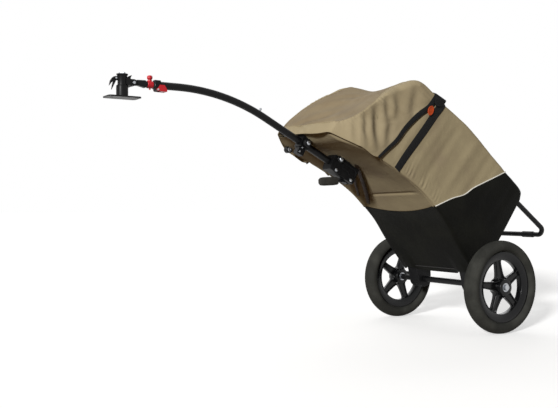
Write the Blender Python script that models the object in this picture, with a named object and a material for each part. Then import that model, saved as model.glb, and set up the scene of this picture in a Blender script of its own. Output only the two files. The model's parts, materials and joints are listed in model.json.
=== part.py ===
"""Bike shopping trailer, in metres: X forward, Y to the left, Z up.

The origin is on the underside of the hitch's base plate, under the hitch's pivot. A bent
drawbar leads back and down to a shopping trolley on two wheels. The trolley is drawn in
axes of its own, which start at the axle and lie back by TILT: u runs up the bag from
axle to hood, v is square to the bag's front and grows towards its back, and y is shared.
"""
from math import cos
from math import degrees
from math import hypot
from math import pi
from math import radians
from math import sin

import bmesh
import bpy
from mathutils import Matrix
from mathutils import Vector

# Fits: between pieces that touch, and round a shaft that turns or slides
TOUCH = 0.0003
RUN = 0.0004

# How far a cutter reaches past what it cuts
PAST = 0.04

# The whole trailer
TILT = radians(27.5)
HITCH_HEIGHT = 0.750
WHEEL_RADIUS = 0.160
TRACK = 0.535

# Hitch post on the carrier
PLATE_LENGTH = 0.100
PLATE_WIDTH = 0.060
PLATE_THICKNESS = 0.004
PLATE_CORNER = 0.010
PLATE_HOLE_RADIUS = 0.00325
PLATE_HOLE_INSET = 0.010
POST_RADIUS = 0.0175
POST_HEIGHT = 0.0312
POST_FLOOR = 0.006
WASHER_THICKNESS = 0.0012
PIVOT_BOLT_RADIUS = 0.005
PIVOT_BOLT_HEAD = 0.0085
PIVOT_BOLT_HEAD_HEIGHT = 0.005

# Swivel head
HEAD_RADIUS = 0.0135
HEAD_HEIGHT = 0.0325
CROWN_RADIUS = 0.0175
CROWN_HEIGHT = 0.0085
PITCH_PIN_X = -0.033
PITCH_PIN_Z = 0.0465
PITCH_PIN_RADIUS = 0.003
TONGUE_HALF = 0.0056
CHEEK_THICKNESS = 0.0045
CHEEK_RADIUS = 0.0095
YOKE_HALF = 0.013
CLAW_HALF = 0.003
CLAW_REACH = 0.007
CLAW_PIN_Z = 0.0563
CLAW_PIN_RADIUS = 0.002
CLAW_ROOT = 0.0052
LUG_THICKNESS = 0.003
LUG_RADIUS = 0.0055

# Coupling arm and its lock
ARM_Z = 0.0455
ARM_START_X = -0.0440
ARM_END_X = -0.0690
SOCKET_END_X = -0.0965
SOCKET_RADIUS = 0.0095
COLLAR_RADIUS = 0.0112
COLLAR_LENGTH = 0.018
LOCK_X = -0.0855
LOCK_PIN_RADIUS = 0.0026
LOCK_HEAD_RADIUS = 0.0082
LOCK_HEAD_HEIGHT = 0.0118
LOCK_BOSS_RADIUS = 0.0065
LOCK_BOSS_TOP = 0.0600
PLUG_RADIUS = 0.006
PLUG_GROOVE_RADIUS = 0.004
PLUG_LENGTH_IN_TUBE = 0.032

# Clip block and safety clip
BLOCK_LENGTH = 0.0190
BLOCK_HALF = 0.0115
BLOCK_BELOW = 0.0125
BLOCK_ABOVE = 0.0145
CLIP_PIN_Z = 0.0318
CLIP_PIN_RADIUS = 0.002
CLIP_LUG_RADIUS = 0.0038
CLIP_THICKNESS = 0.002
CLIP_LENGTH = 0.0290
CLIP_DEPTH = 0.004

# Drawbar
TUBE_RADIUS = 0.0115
TUBE_WALL = 0.002
BEND_START_X = -0.174
BEND_RADIUS = 0.670
DRAWBAR_V = 0.135
DRAWBAR_END_INSIDE = 0.010
STOP_BEFORE_STRAIGHT = 0.028
STOP_RADIUS = 0.004
STOP_PROUD = 0.0095
END_CAP_LENGTH = 0.014

# Trolley frame
RAIL_RADIUS = 0.010
RAIL_WALL = 0.0015
RAIL_Y = 0.150
RAIL_V = 0.181
RAIL_TOP_U = 0.735
BOW_RADIUS = 0.0082
BOW_WALL = 0.0015
BOW_LEG_IN_RAIL = 0.060
BOW_TOP = (0.796, 0.1642)
BOW_CORNER = 0.048
CROSSBAR_U = 0.620
STAND_RADIUS = 0.009
STAND_WALL = 0.0015
STAND_INSET = 0.013
STAND_KNEE = (-0.1957, 0.3217)
STAND_BAR = (-0.2065, 0.3009)
STAND_TAPER = 0.004
STAND_INNER_END = (0.020, 0.352)
STAND_CORNER = 0.020
SLEEVE_RADIUS = 0.0115
SLEEVE_FROM_BELOW = 0.087
SLEEVE_TO_BELOW = 0.037

# Clamps that hold the drawbar
UPPER_CLAMP_U = (0.775, 0.805)
UPPER_CLAMP_HALF = 0.0185
UPPER_LUG_BOTTOM_V = 0.094
UPPER_LUG_HALF = 0.012
GUIDE_SCREW_VS = (0.1155, 0.1020)
GUIDE_SCREW_RADIUS = 0.002
KNOB_RADIUS = 0.014
KNOB_LENGTH = 0.012
KNOB_SHAFT_RADIUS = 0.003
LOWER_CLAMP_BELOW = 0.060
LOWER_CLAMP_ABOVE = 0.048
LOWER_CLAMP_HALF = 0.024
LOWER_CLAMP_BOTTOM_V = 0.107
LOWER_LUG_LENGTH = 0.040
LOWER_CLAMP_BACK_V = 0.1605
CLAMP_BOLT_ABOVE = 0.026
CLAMP_BOLT_VS = (0.1545, 0.1140)
CLAMP_BOLT_RADIUS = 0.003
LEVER_PIVOT_BELOW = 0.043
LEVER_PIVOT_V = 0.1120
LEVER_ANGLE = radians(-30.5)
LEVER_LENGTH = 0.112
LEVER_HALF = 0.0078
CAM_RADIUS = 0.0106
GRIP_LENGTH = 0.076
GRIP_HEIGHT = 0.029
GRIP_WIDTH = 0.019

# Bag: each station is a point on the middle of its front and one on its back, as (u, v)
BAG_HALF = 0.196
TUB_BOTTOM_HALF = 0.188
BAG_CORNER = 0.020
BAG_WALL = 0.003
BOARD_THICKNESS = 0.004
BOARD_CLEAR = 0.004
TUB_STATIONS = (
    ((0.067, 0.0160), (-0.029, 0.3655)),
    ((0.118, 0.0450), (-0.019, 0.3820)),
    ((0.187, 0.0800), (0.013, 0.3910)),
    ((0.268, 0.1190), (0.052, 0.4000)),
    ((0.335, 0.1385), (0.089, 0.4080)),
)
UPPER_STATIONS = (
    ((0.335, 0.1385), (0.089, 0.4080)),
    ((0.400, 0.1550), (0.199, 0.4320)),
    ((0.470, 0.1635), (0.314, 0.4570)),
    ((0.545, 0.1660), (0.373, 0.4630)),
    ((0.629, 0.1645), (0.430, 0.4660)),
    ((0.730, 0.1570), (0.480, 0.4665)),
    ((0.770, 0.1540), (0.505, 0.4650)),
    ((0.809, 0.1508), (0.545, 0.4580)),
)
NARROW_CORNER = 0.018
PIPING_RADIUS = 0.0022

# Near the top the front corners slope in: the hood's half width at each u of its front
CORNER_LINE = (
    (0.690, 0.2060),
    (0.706, 0.1998),
    (0.735, 0.1885),
    (0.769, 0.1705),
    (0.792, 0.1600),
    (0.806, 0.1530),
    (0.8145, 0.1440),
    (0.820, 0.1290),
)
CORNER_LEAN = 0.54

# Hood: the outline of its top from the hinge to the hem at the back, and its hem's side
HOOD_HINGE = (0.8145, 0.1550)
HOOD_TOP = (
    HOOD_HINGE,
    (0.8145, 0.1950),
    (0.797, 0.2065),
    (0.777, 0.2250),
    (0.751, 0.2610),
    (0.715, 0.3220),
    (0.684, 0.3750),
    (0.645, 0.4250),
    (0.615, 0.4590),
    (0.597, 0.4690),
    (0.575, 0.4735),
    (0.540, 0.4745),
    (0.496, 0.4740),
)
HOOD_SAG_SHARE = (0, 0, 0.1, 0.2, 0.3, 0.5, 0.7, 0.9, 1, 1, 0.4, 0, 0)
HOOD_SAG = 0.027
HOOD_HUMP_Y = 0.150
HOOD_FAR_LIFT = 0.024
HOOD_FAR_LIFT_RUN = 0.140
HOOD_FAR_LIFT_SHARE = (0, 0.1, 0.5, 0.8, 1, 1, 1, 1, 1, 0.9, 0.6, 0, 0)
HOOD_SHOULDER = 0.007
HOOD_SHOULDER_WIDTH = 0.030
HOOD_WALL = 0.0028
HOOD_SIDE_GAP = 0.0012
HOOD_BACK_V = 0.4710
HOOD_FRONT_HEM_V = 0.1565
HEM_LINE = ((0.505, 0.460), (0.516, 0.426), (0.531, 0.397), (0.553, 0.353), (0.582, 0.270), (0.613, 0.190))
HOOD_FRONT = ((0.628, 0.1615), (0.730, 0.1550), (0.800, 0.1500))

# Straps
STRAP_HALF = 0.010
STRAP_THICKNESS = 0.0016
HOOD_STRAP_BACK_V = 0.4748
SIDE_STRAP_BACK_V = 0.4672
SIDE_STRAP_LINE = ((0.527, 0.192), (0.520, 0.262), (0.504, 0.355), (0.493, 0.410), (0.470, 0.450))
TAG_AT = (0.511, 0.416)
TAG_SIZE = (0.030, 0.022)
TAG_THICKNESS = 0.0012
KEEPER_START_BELOW = 0.030
KEEPER_END_BELOW = 0.275
KEEPER_YS = (0.055, -0.150)
KEEPER_HALF = 0.006
KEEPER_PIECES = 26

# Axle and wheels
AXLE_RADIUS = 0.011
AXLE_WALL = 0.0025
CLAMP_INSET = 0.023
CLAMP_WIDTH = 0.053
CLAMP_RADIUS = 0.030
CLAMP_TOP_FROM = 0.03
CLAMP_TOP_TO = 0.42
CLAMP_POCKET_WALL = 0.006
AXLE_BOLT_RADIUS = 0.006
AXLE_BOLT_HEAD = 0.0095
AXLE_BOLT_HEAD_HEIGHT = 0.006
AXLE_STUB_LENGTH = 0.045
HUB_RADIUS = 0.0285
HUB_HALF = 0.0255
HUB_BORE = 0.0155
BEARING_LENGTH = 0.010
SPOKES = 5
SPOKE_ROOT_HALF = 0.0160
SPOKE_TIP_HALF = 0.0100
SPOKE_RIB = 0.004
SPOKE_RIB_HALF = 0.0080
SPOKE_WEB_HALF = 0.0035
RIM_INNER = 0.093
RIM_WALL = 0.013
RIM_FLANGE = 0.1215
RIM_HALF = 0.0165
RIM_FLANGE_THICKNESS = 0.0025
TYRE_HALF = 0.029
TYRE_WALL = 0.004
TYRE_CENTRE = 0.1385
INNER_TUBE_WALL = 0.0015
INNER_TUBE_GAP = 0.0035
INNER_TUBE_OUT = 0.001
WHEEL_TURN = {"left": radians(-20.3), "right": radians(4.9)}

SMOOTH_ANGLE = radians(35)

# Colour as linear red, green and blue, roughness, metallic
FINISHES = {
    "powder_coat": ((0.012, 0.012, 0.013), 0.42, 0.0),
    "zinc": ((0.55, 0.56, 0.58), 0.32, 1.0),
    "black_plastic": ((0.010, 0.010, 0.011), 0.38, 0.0),
    "glossy_plastic": ((0.009, 0.009, 0.010), 0.18, 0.0),
    "red_plastic": ((0.55, 0.015, 0.012), 0.35, 0.0),
    "khaki_cloth": ((0.262, 0.202, 0.118), 0.85, 0.0),
    "black_cloth": ((0.010, 0.010, 0.011), 0.80, 0.0),
    "webbing": ((0.013, 0.013, 0.014), 0.75, 0.0),
    "reflective": ((0.62, 0.61, 0.56), 0.45, 0.0),
    "orange_rubber": ((0.75, 0.17, 0.03), 0.50, 0.0),
    "black_rubber": ((0.009, 0.009, 0.009), 0.80, 0.0),
    "tyre_rubber": ((0.045, 0.044, 0.042), 0.85, 0.0),
    "board": ((0.020, 0.020, 0.020), 0.70, 0.0),
}

# Sizes that follow from those above
AXLE_Z = WHEEL_RADIUS - HITCH_HEIGHT
TANGENT_X = BEND_START_X - BEND_RADIUS * sin(TILT)
TANGENT_Z = ARM_Z - BEND_RADIUS * (1 - cos(TILT))
AXLE_X = TANGENT_X - ((TANGENT_Z - AXLE_Z) * cos(TILT) - DRAWBAR_V) / sin(TILT)
POST_BASE = PLATE_THICKNESS + TOUCH
POST_TOP = POST_BASE + POST_HEIGHT
WASHER_BASE = POST_TOP + TOUCH
HEAD_BASE = WASHER_BASE + WASHER_THICKNESS + TOUCH
HEAD_TOP = HEAD_BASE + HEAD_HEIGHT
CHEEK_INNER = TONGUE_HALF + RUN
CHEEK_OUTER = CHEEK_INNER + CHEEK_THICKNESS
CLAW_PIN_X = HEAD_RADIUS + CLAW_REACH
BLOCK_START_X = SOCKET_END_X - 0.0015
BLOCK_END_X = BLOCK_START_X - BLOCK_LENGTH
DRAWBAR_START_X = BLOCK_END_X - RUN
CLIP_PIN_X = BLOCK_START_X - 0.0085
TUBE_BORE = TUBE_RADIUS - TUBE_WALL
CLAMP_BORE = TUBE_RADIUS + RUN
KNOB_V = DRAWBAR_V
LOWER_CLAMP_U = (CROSSBAR_U - LOWER_CLAMP_BELOW, CROSSBAR_U + LOWER_CLAMP_ABOVE)
LOWER_LUG_END_U = LOWER_CLAMP_U[0] + LOWER_LUG_LENGTH
CLAMP_BOLT_U = CROSSBAR_U + CLAMP_BOLT_ABOVE
LEVER_PIVOT = (CROSSBAR_U - LEVER_PIVOT_BELOW, LEVER_PIVOT_V)
DRAWBAR_END_U = LOWER_CLAMP_U[0] + DRAWBAR_END_INSIDE
KEEPER_START = (CROSSBAR_U - KEEPER_START_BELOW, KEEPER_YS[0])
KEEPER_END = (CROSSBAR_U - KEEPER_END_BELOW, KEEPER_YS[1])
STAND_Y = TUB_BOTTOM_HALF - STAND_INSET
STAND_BAR_Y = STAND_Y - STAND_TAPER
SLEEVE_FROM_Y = STAND_BAR_Y - SLEEVE_FROM_BELOW
SLEEVE_TO_Y = STAND_BAR_Y - SLEEVE_TO_BELOW
CLAMP_TO_Y = TUB_BOTTOM_HALF - CLAMP_INSET
CLAMP_FROM_Y = CLAMP_TO_Y - CLAMP_WIDTH
KNOB_U = (UPPER_CLAMP_U[0] + UPPER_CLAMP_U[1]) / 2
HOOD_INNER_HALF = BAG_HALF + HOOD_SIDE_GAP
HOOD_HALF = HOOD_INNER_HALF + HOOD_WALL
AXLE_END_Y = TRACK / 2 - HUB_HALF - 0.002
HUB_FACE_Y = TRACK / 2 + HUB_HALF


# Modelling functions


def clear_scene():
    for thing in list(bpy.data.objects):
        bpy.data.objects.remove(thing, do_unlink=True)


def material(finish):
    found = bpy.data.materials.get(finish)
    if found:
        return found
    colour, roughness, metallic = FINISHES[finish]
    made = bpy.data.materials.new(finish)
    made.use_nodes = True
    shader = made.node_tree.nodes["Principled BSDF"]
    shader.inputs["Base Color"].default_value = (*colour, 1)
    shader.inputs["Roughness"].default_value = roughness
    shader.inputs["Metallic"].default_value = metallic
    made.diffuse_color = (*colour, 1)
    return made


def axes(name, at, parent=None, lean=0.0):
    """An empty to hang pieces on; lean turns its X axis up about Y."""
    empty = bpy.data.objects.new(name, None)
    bpy.context.scene.collection.objects.link(empty)
    empty.parent = parent
    empty.location = at
    empty.rotation_euler = (0, -lean, 0)
    empty.empty_display_size = 0.02
    return empty


def joint_axes(name, at, parent=None):
    """An empty on a joint's axis. Its pieces are still drawn from its parent's origin."""
    empty = axes(name, at, parent)
    empty["pieces_start_at_parent"] = True
    return empty


def add_object(name, mesh, finish, parent):
    made = bpy.data.objects.new(name, mesh)
    bpy.context.scene.collection.objects.link(made)
    made.parent = parent
    if parent is not None and parent.get("pieces_start_at_parent"):
        made.location = -parent.location
    if finish is None:
        made.hide_render = True
        made.display_type = "WIRE"
    else:
        mesh.materials.append(material(finish))
    return made


def loft(name, rings, finish, parent=None, wrap=False):
    """A skin through rings with as many points each; wrap joins the last to the first."""
    mesh = bpy.data.meshes.new(name)
    shape = bmesh.new()
    loops = [[shape.verts.new(point) for point in ring] for ring in rings]
    for index in range(len(loops) if wrap else len(loops) - 1):
        near = loops[index]
        far = loops[(index + 1) % len(loops)]
        for j in range(len(near)):
            k = (j + 1) % len(near)
            shape.faces.new((near[j], near[k], far[k], far[j]))
    if not wrap:
        shape.faces.new(loops[0])
        shape.faces.new(loops[-1])
    bmesh.ops.recalc_face_normals(shape, faces=shape.faces)
    shape.to_mesh(mesh)
    shape.free()
    mesh.shade_smooth()
    mesh.set_sharp_from_angle(angle=SMOOTH_ANGLE)
    return add_object(name, mesh, finish, parent)


def on_axis(axis, across, sideways, along):
    """A point from two coordinates across an axis and one along it."""
    if axis == "x":
        return Vector((along, across, sideways))
    if axis == "y":
        return Vector((across, along, sideways))
    return Vector((across, sideways, along))


def flat_radius(radius, angle, flats):
    """The radius of a shape with flat sides, at an angle; radius is to the middle of a flat."""
    if not flats:
        return radius
    sector = 2 * pi / flats
    return radius / cos((angle + sector / 2) % sector - sector / 2)


def turned(name, profile, axis, finish, parent=None, centre=(0, 0), sides=24, wrap=False):
    """A turned piece. The profile holds (radius, height) or (radius, height, flats)."""
    rings = []
    for entry in profile:
        radius, height = entry[:2]
        flats = entry[2] if len(entry) > 2 else 0
        ring = []
        for index in range(sides):
            angle = 2 * pi * index / sides
            reach = flat_radius(radius, angle, flats)
            point = (centre[0] + reach * cos(angle), centre[1] + reach * sin(angle))
            ring.append(on_axis(axis, point[0], point[1], height))
        rings.append(ring)
    return loft(name, rings, finish, parent, wrap)


def slab(name, outline, axis, low, high, finish, parent=None):
    """A flat piece: an outline across an axis, from low to high along it."""
    rings = [[on_axis(axis, a, b, height) for a, b in outline] for height in (low, high)]
    return loft(name, rings, finish, parent)


def arc(centre, radius, start, end, steps):
    """Points on an arc; start and end in degrees."""
    points = []
    for index in range(steps + 1):
        angle = radians(start + (end - start) * index / steps)
        points.append((centre[0] + radius * cos(angle), centre[1] + radius * sin(angle)))
    return points


def rounded_box(low, high, corner, steps=3):
    """The outline of a rectangle with round corners, from its low to its high corner."""
    points = []
    for x, y, start in (
        (high[0] - corner, high[1] - corner, 0),
        (low[0] + corner, high[1] - corner, 90),
        (low[0] + corner, low[1] + corner, 180),
        (high[0] - corner, low[1] + corner, 270),
    ):
        points += arc((x, y), corner, start, start + 90, steps)
    return points


def filleted(points, radius, steps=6):
    """The route through points with each inner corner rounded to a radius."""
    route = [Vector(points[0])]
    for before, at, after in zip(points, points[1:], points[2:]):
        at = Vector(at)
        back = (Vector(before) - at).normalized()
        ahead = (Vector(after) - at).normalized()
        half = back.angle(ahead) / 2
        reach = radius * cos(half) / sin(half)
        centre = at + (back + ahead).normalized() * radius / sin(half)
        first = at + back * reach - centre
        last = at + ahead * reach - centre
        sweep = first.angle(last)
        for index in range(steps + 1):
            share = index / steps
            mix = first * sin((1 - share) * sweep) + last * sin(share * sweep)
            route.append(centre + mix / sin(sweep))
    route.append(Vector(points[-1]))
    return route


def path_rings(route, radius, sides):
    """Rings square to a route, each turned as little as possible from the one before."""
    rings = []
    side = None
    for index, point in enumerate(route):
        ahead = route[min(index + 1, len(route) - 1)]
        behind = route[max(index - 1, 0)]
        way = (ahead - behind).normalized()
        if side is None:
            side = way.orthogonal().normalized()
        side = (side - way * side.dot(way)).normalized()
        up = way.cross(side)
        ring = []
        for step in range(sides):
            angle = 2 * pi * step / sides
            ring.append(point + side * radius * cos(angle) + up * radius * sin(angle))
        rings.append(ring)
    return rings


def tube(name, route, radius, bore, finish, parent=None, sides=20):
    """A pipe along a route, or a rod where the bore is nothing."""
    route = [Vector(point) for point in route]
    rings = path_rings(route, radius, sides)
    if bore:
        rings += reversed(path_rings(route, bore, sides))
    return loft(name, rings, finish, parent, wrap=bool(bore))


def rod(axis, centre, radius, low, high, parent=None, sides=20):
    """A cutter for a round hole along an axis."""
    profile = ((radius, low), (radius, high))
    return turned("cutter", profile, axis, None, parent, centre, sides)


def combine(target, other, operation):
    other.hide_render = True
    other.display_type = "WIRE"
    change = target.modifiers.new(operation.lower(), "BOOLEAN")
    change.operation = operation
    change.solver = "EXACT"
    change.object = other


def cut(target, other):
    combine(target, other, "DIFFERENCE")


def fuse(target, other):
    combine(target, other, "UNION")


# Hitch: the fixed post


def make_post():
    half_length = PLATE_LENGTH / 2
    half_width = PLATE_WIDTH / 2
    outline = rounded_box((-half_length, -half_width), (half_length, half_width), PLATE_CORNER, 4)
    plate = slab("base_plate", outline, "z", 0, PLATE_THICKNESS, "powder_coat")
    for x in (-half_length + PLATE_HOLE_INSET, half_length - PLATE_HOLE_INSET):
        for y in (-half_width + PLATE_HOLE_INSET, half_width - PLATE_HOLE_INSET):
            cut(plate, rod("z", (x, y), PLATE_HOLE_RADIUS, -0.01, PLATE_THICKNESS + 0.01, sides=16))
    bore = PIVOT_BOLT_RADIUS + RUN
    post = (
        (POST_RADIUS, POST_BASE),
        (POST_RADIUS, POST_TOP - 0.001),
        (POST_RADIUS - 0.001, POST_TOP),
        (bore, POST_TOP),
        (bore, POST_BASE + POST_FLOOR),
    )
    turned("receiver_post", post, "z", "powder_coat", sides=24)
    washer = (
        (POST_RADIUS - 0.001, WASHER_BASE),
        (POST_RADIUS - 0.001, WASHER_BASE + WASHER_THICKNESS),
        (bore, WASHER_BASE + WASHER_THICKNESS),
        (bore, WASHER_BASE),
    )
    turned("wear_washer", washer, "z", "black_plastic", sides=20, wrap=True)
    seat = HEAD_TOP + TOUCH
    bolt = (
        (PIVOT_BOLT_RADIUS, POST_BASE + POST_FLOOR + 0.001),
        (PIVOT_BOLT_RADIUS, seat),
        (PIVOT_BOLT_HEAD, seat, 6),
        (PIVOT_BOLT_HEAD, seat + PIVOT_BOLT_HEAD_HEIGHT - 0.001, 6),
        (PIVOT_BOLT_HEAD - 0.001, seat + PIVOT_BOLT_HEAD_HEIGHT),
    )
    turned("pivot_bolt", bolt, "z", "zinc")


# Hitch: the swivel head with its yoke, and the release claw


def make_swivel():
    yaw = joint_axes("yaw_axis", (0, 0, HEAD_BASE))
    bore = PIVOT_BOLT_RADIUS + RUN
    head = turned(
        "swivel_head",
        (
            (HEAD_RADIUS, HEAD_BASE),
            (HEAD_RADIUS, HEAD_TOP - CROWN_HEIGHT),
            (CROWN_RADIUS - 0.001, HEAD_TOP - 0.0020),
            (CROWN_RADIUS, HEAD_TOP - 0.0010),
            (CROWN_RADIUS - 0.0010, HEAD_TOP),
        ),
        "z",
        "powder_coat",
        yaw,
        sides=24,
    )
    yoke = (
        (-HEAD_RADIUS + 0.006, 0.0400),
        (-0.0170, 0.0380),
        (-0.0245, 0.0335),
        (-0.0214, 0.0400),
        (-0.0205, 0.0500),
        (-0.0214, 0.0600),
        (-0.0250, 0.0668),
        (-0.0170, 0.0640),
        (-HEAD_RADIUS + 0.006, 0.0580),
    )
    fuse(head, slab("yoke_plate", yoke, "y", -YOKE_HALF, YOKE_HALF, None, yaw))
    pin_at = (PITCH_PIN_X, PITCH_PIN_Z)
    cheek = [(-HEAD_RADIUS - 0.003, PITCH_PIN_Z + CHEEK_RADIUS)]
    cheek += arc(pin_at, CHEEK_RADIUS, 90, 270, 12)
    cheek += [(-HEAD_RADIUS - 0.003, PITCH_PIN_Z - CHEEK_RADIUS)]
    lug_at = (CLAW_PIN_X, CLAW_PIN_Z)
    lug = arc(lug_at, LUG_RADIUS, -90, 90, 8)
    lug += [(HEAD_RADIUS - 0.004, CLAW_PIN_Z + LUG_RADIUS), (HEAD_RADIUS - 0.004, CLAW_PIN_Z - LUG_RADIUS)]
    lug_inner = CLAW_HALF + RUN
    for side in (-1, 1):
        low, high = sorted((side * CHEEK_INNER, side * CHEEK_OUTER))
        fuse(head, slab("cheek", cheek, "y", low, high, None, yaw))
        low, high = sorted((side * lug_inner, side * (lug_inner + LUG_THICKNESS)))
        fuse(head, slab("lug", lug, "y", low, high, None, yaw))
    cut(head, rod("z", (0, 0), bore, 0, HEAD_TOP + 0.01, yaw))
    cut(head, rod("y", pin_at, PITCH_PIN_RADIUS + TOUCH, -0.03, 0.03, yaw, 16))
    cut(head, rod("y", lug_at, CLAW_PIN_RADIUS + TOUCH, -0.03, 0.03, yaw, 12))
    make_pin("pitch_pin", pin_at, PITCH_PIN_RADIUS, CHEEK_OUTER, yaw)
    make_pin("claw_pin", lug_at, CLAW_PIN_RADIUS, lug_inner + LUG_THICKNESS, yaw)
    claw_axis = joint_axes("claw_axis", (CLAW_PIN_X, 0, CLAW_PIN_Z))
    x, z = lug_at
    outline = arc(lug_at, CLAW_ROOT, 80, 215, 8)
    outline += [
        (x - 0.0005, z - 0.0085),
        (x + 0.0050, z - 0.0200),
        (x + 0.0125, z - 0.0345),
        (x + 0.0100, z - 0.0200),
        (x + 0.0075, z - 0.0100),
        (x + 0.0120, z - 0.0130),
        (x + 0.0195, z - 0.0230),
        (x + 0.0160, z - 0.0080),
        (x + 0.0100, z + 0.0010),
        (x + 0.0050, z + 0.0044),
    ]
    claw = slab("release_claw", outline, "y", -CLAW_HALF, CLAW_HALF, "powder_coat", claw_axis)
    cut(claw, rod("y", lug_at, CLAW_PIN_RADIUS + TOUCH, -0.03, 0.03, claw_axis, 12))


def make_pin(name, centre, radius, half, parent, finish="zinc"):
    """A cross pin along Y with a low head at each end, outside half."""
    head = half + TOUCH
    profile = (
        (radius * 1.4, -head - 0.0013),
        (radius * 1.6, -head),
        (radius, -head),
        (radius, head),
        (radius * 1.6, head),
        (radius * 1.4, head + 0.0013),
    )
    return turned(name, profile, "y", finish, parent, centre, 12)


# Hitch: the arm that tilts, its red lock, and the clip behind it


def box_ring(x, half, low, high, corner):
    outline = rounded_box((-half, low), (half, high), corner)
    return [Vector((x, y, z)) for y, z in outline]


def make_arm():
    pitch = joint_axes("pitch_axis", (PITCH_PIN_X, 0, PITCH_PIN_Z))
    pin_at = (PITCH_PIN_X, PITCH_PIN_Z)
    root = CHEEK_RADIUS - 0.0008
    tongue = arc(pin_at, root, 90, -90, 12)
    tongue += [(ARM_START_X - 0.003, PITCH_PIN_Z - root + 0.002), (ARM_START_X - 0.003, PITCH_PIN_Z + root - 0.001)]
    body = (
        box_ring(ARM_START_X, 0.0085, ARM_Z - 0.0055, ARM_Z + 0.0105, 0.003),
        box_ring(ARM_END_X, 0.0110, ARM_Z - 0.0110, ARM_Z + 0.0112, 0.005),
        box_ring(ARM_END_X - 0.002, 0.0100, ARM_Z - 0.0100, ARM_Z + 0.0102, 0.005),
    )
    arm = loft("coupling_arm", body, "powder_coat", pitch)
    fuse(arm, slab("tongue", tongue, "y", -TONGUE_HALF, TONGUE_HALF, None, pitch))
    fuse(arm, rod("x", (0, ARM_Z), SOCKET_RADIUS, SOCKET_END_X, ARM_END_X + 0.004, pitch, 24))
    bore_start = ARM_END_X + 0.005
    cut(arm, rod("x", (0, ARM_Z), PLUG_RADIUS + RUN, SOCKET_END_X - 0.01, bore_start, pitch))
    cut(arm, rod("y", pin_at, PITCH_PIN_RADIUS + RUN, -0.03, 0.03, pitch, 16))
    lock_hole = LOCK_PIN_RADIUS + RUN
    cut(arm, rod("z", (LOCK_X, 0), lock_hole, ARM_Z, ARM_Z + 0.02, pitch, 16))

    collar_start = LOCK_X + COLLAR_LENGTH / 2
    collar_end = LOCK_X - COLLAR_LENGTH / 2
    collar = turned(
        "lock_collar",
        (
            (COLLAR_RADIUS - 0.001, collar_start),
            (COLLAR_RADIUS, collar_start - 0.001),
            (COLLAR_RADIUS, collar_end + 0.001),
            (COLLAR_RADIUS - 0.001, collar_end),
        ),
        "x",
        "red_plastic",
        pitch,
        (0, ARM_Z),
        24,
    )
    fuse(collar, rod("z", (LOCK_X, 0), LOCK_BOSS_RADIUS, ARM_Z + 0.004, LOCK_BOSS_TOP, pitch))
    fuse(collar, rod("z", (LOCK_X, 0), 0.0025, ARM_Z - COLLAR_RADIUS - 0.0040, ARM_Z - 0.008, pitch, 12))
    cut(collar, rod("x", (0, ARM_Z), SOCKET_RADIUS + TOUCH, collar_end - 0.01, collar_start + 0.01, pitch, 24))
    cut(collar, rod("z", (LOCK_X, 0), lock_hole, ARM_Z, LOCK_BOSS_TOP + 0.01, pitch, 16))

    lock = joint_axes("lock_axis", (LOCK_X, 0, LOCK_BOSS_TOP))
    tip = ARM_Z + PLUG_GROOVE_RADIUS + RUN
    under = LOCK_BOSS_TOP + 0.0010
    button = (
        (LOCK_PIN_RADIUS, tip),
        (LOCK_PIN_RADIUS, under),
        (LOCK_HEAD_RADIUS - 0.0020, under),
        (LOCK_HEAD_RADIUS, under + 0.0025),
        (LOCK_HEAD_RADIUS, under + LOCK_HEAD_HEIGHT - 0.0035),
        (LOCK_HEAD_RADIUS - 0.0018, under + LOCK_HEAD_HEIGHT - 0.0008),
        (LOCK_HEAD_RADIUS - 0.0045, under + LOCK_HEAD_HEIGHT),
    )
    turned("lock_button", button, "z", "red_plastic", lock, (LOCK_X, 0), 16)


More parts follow.
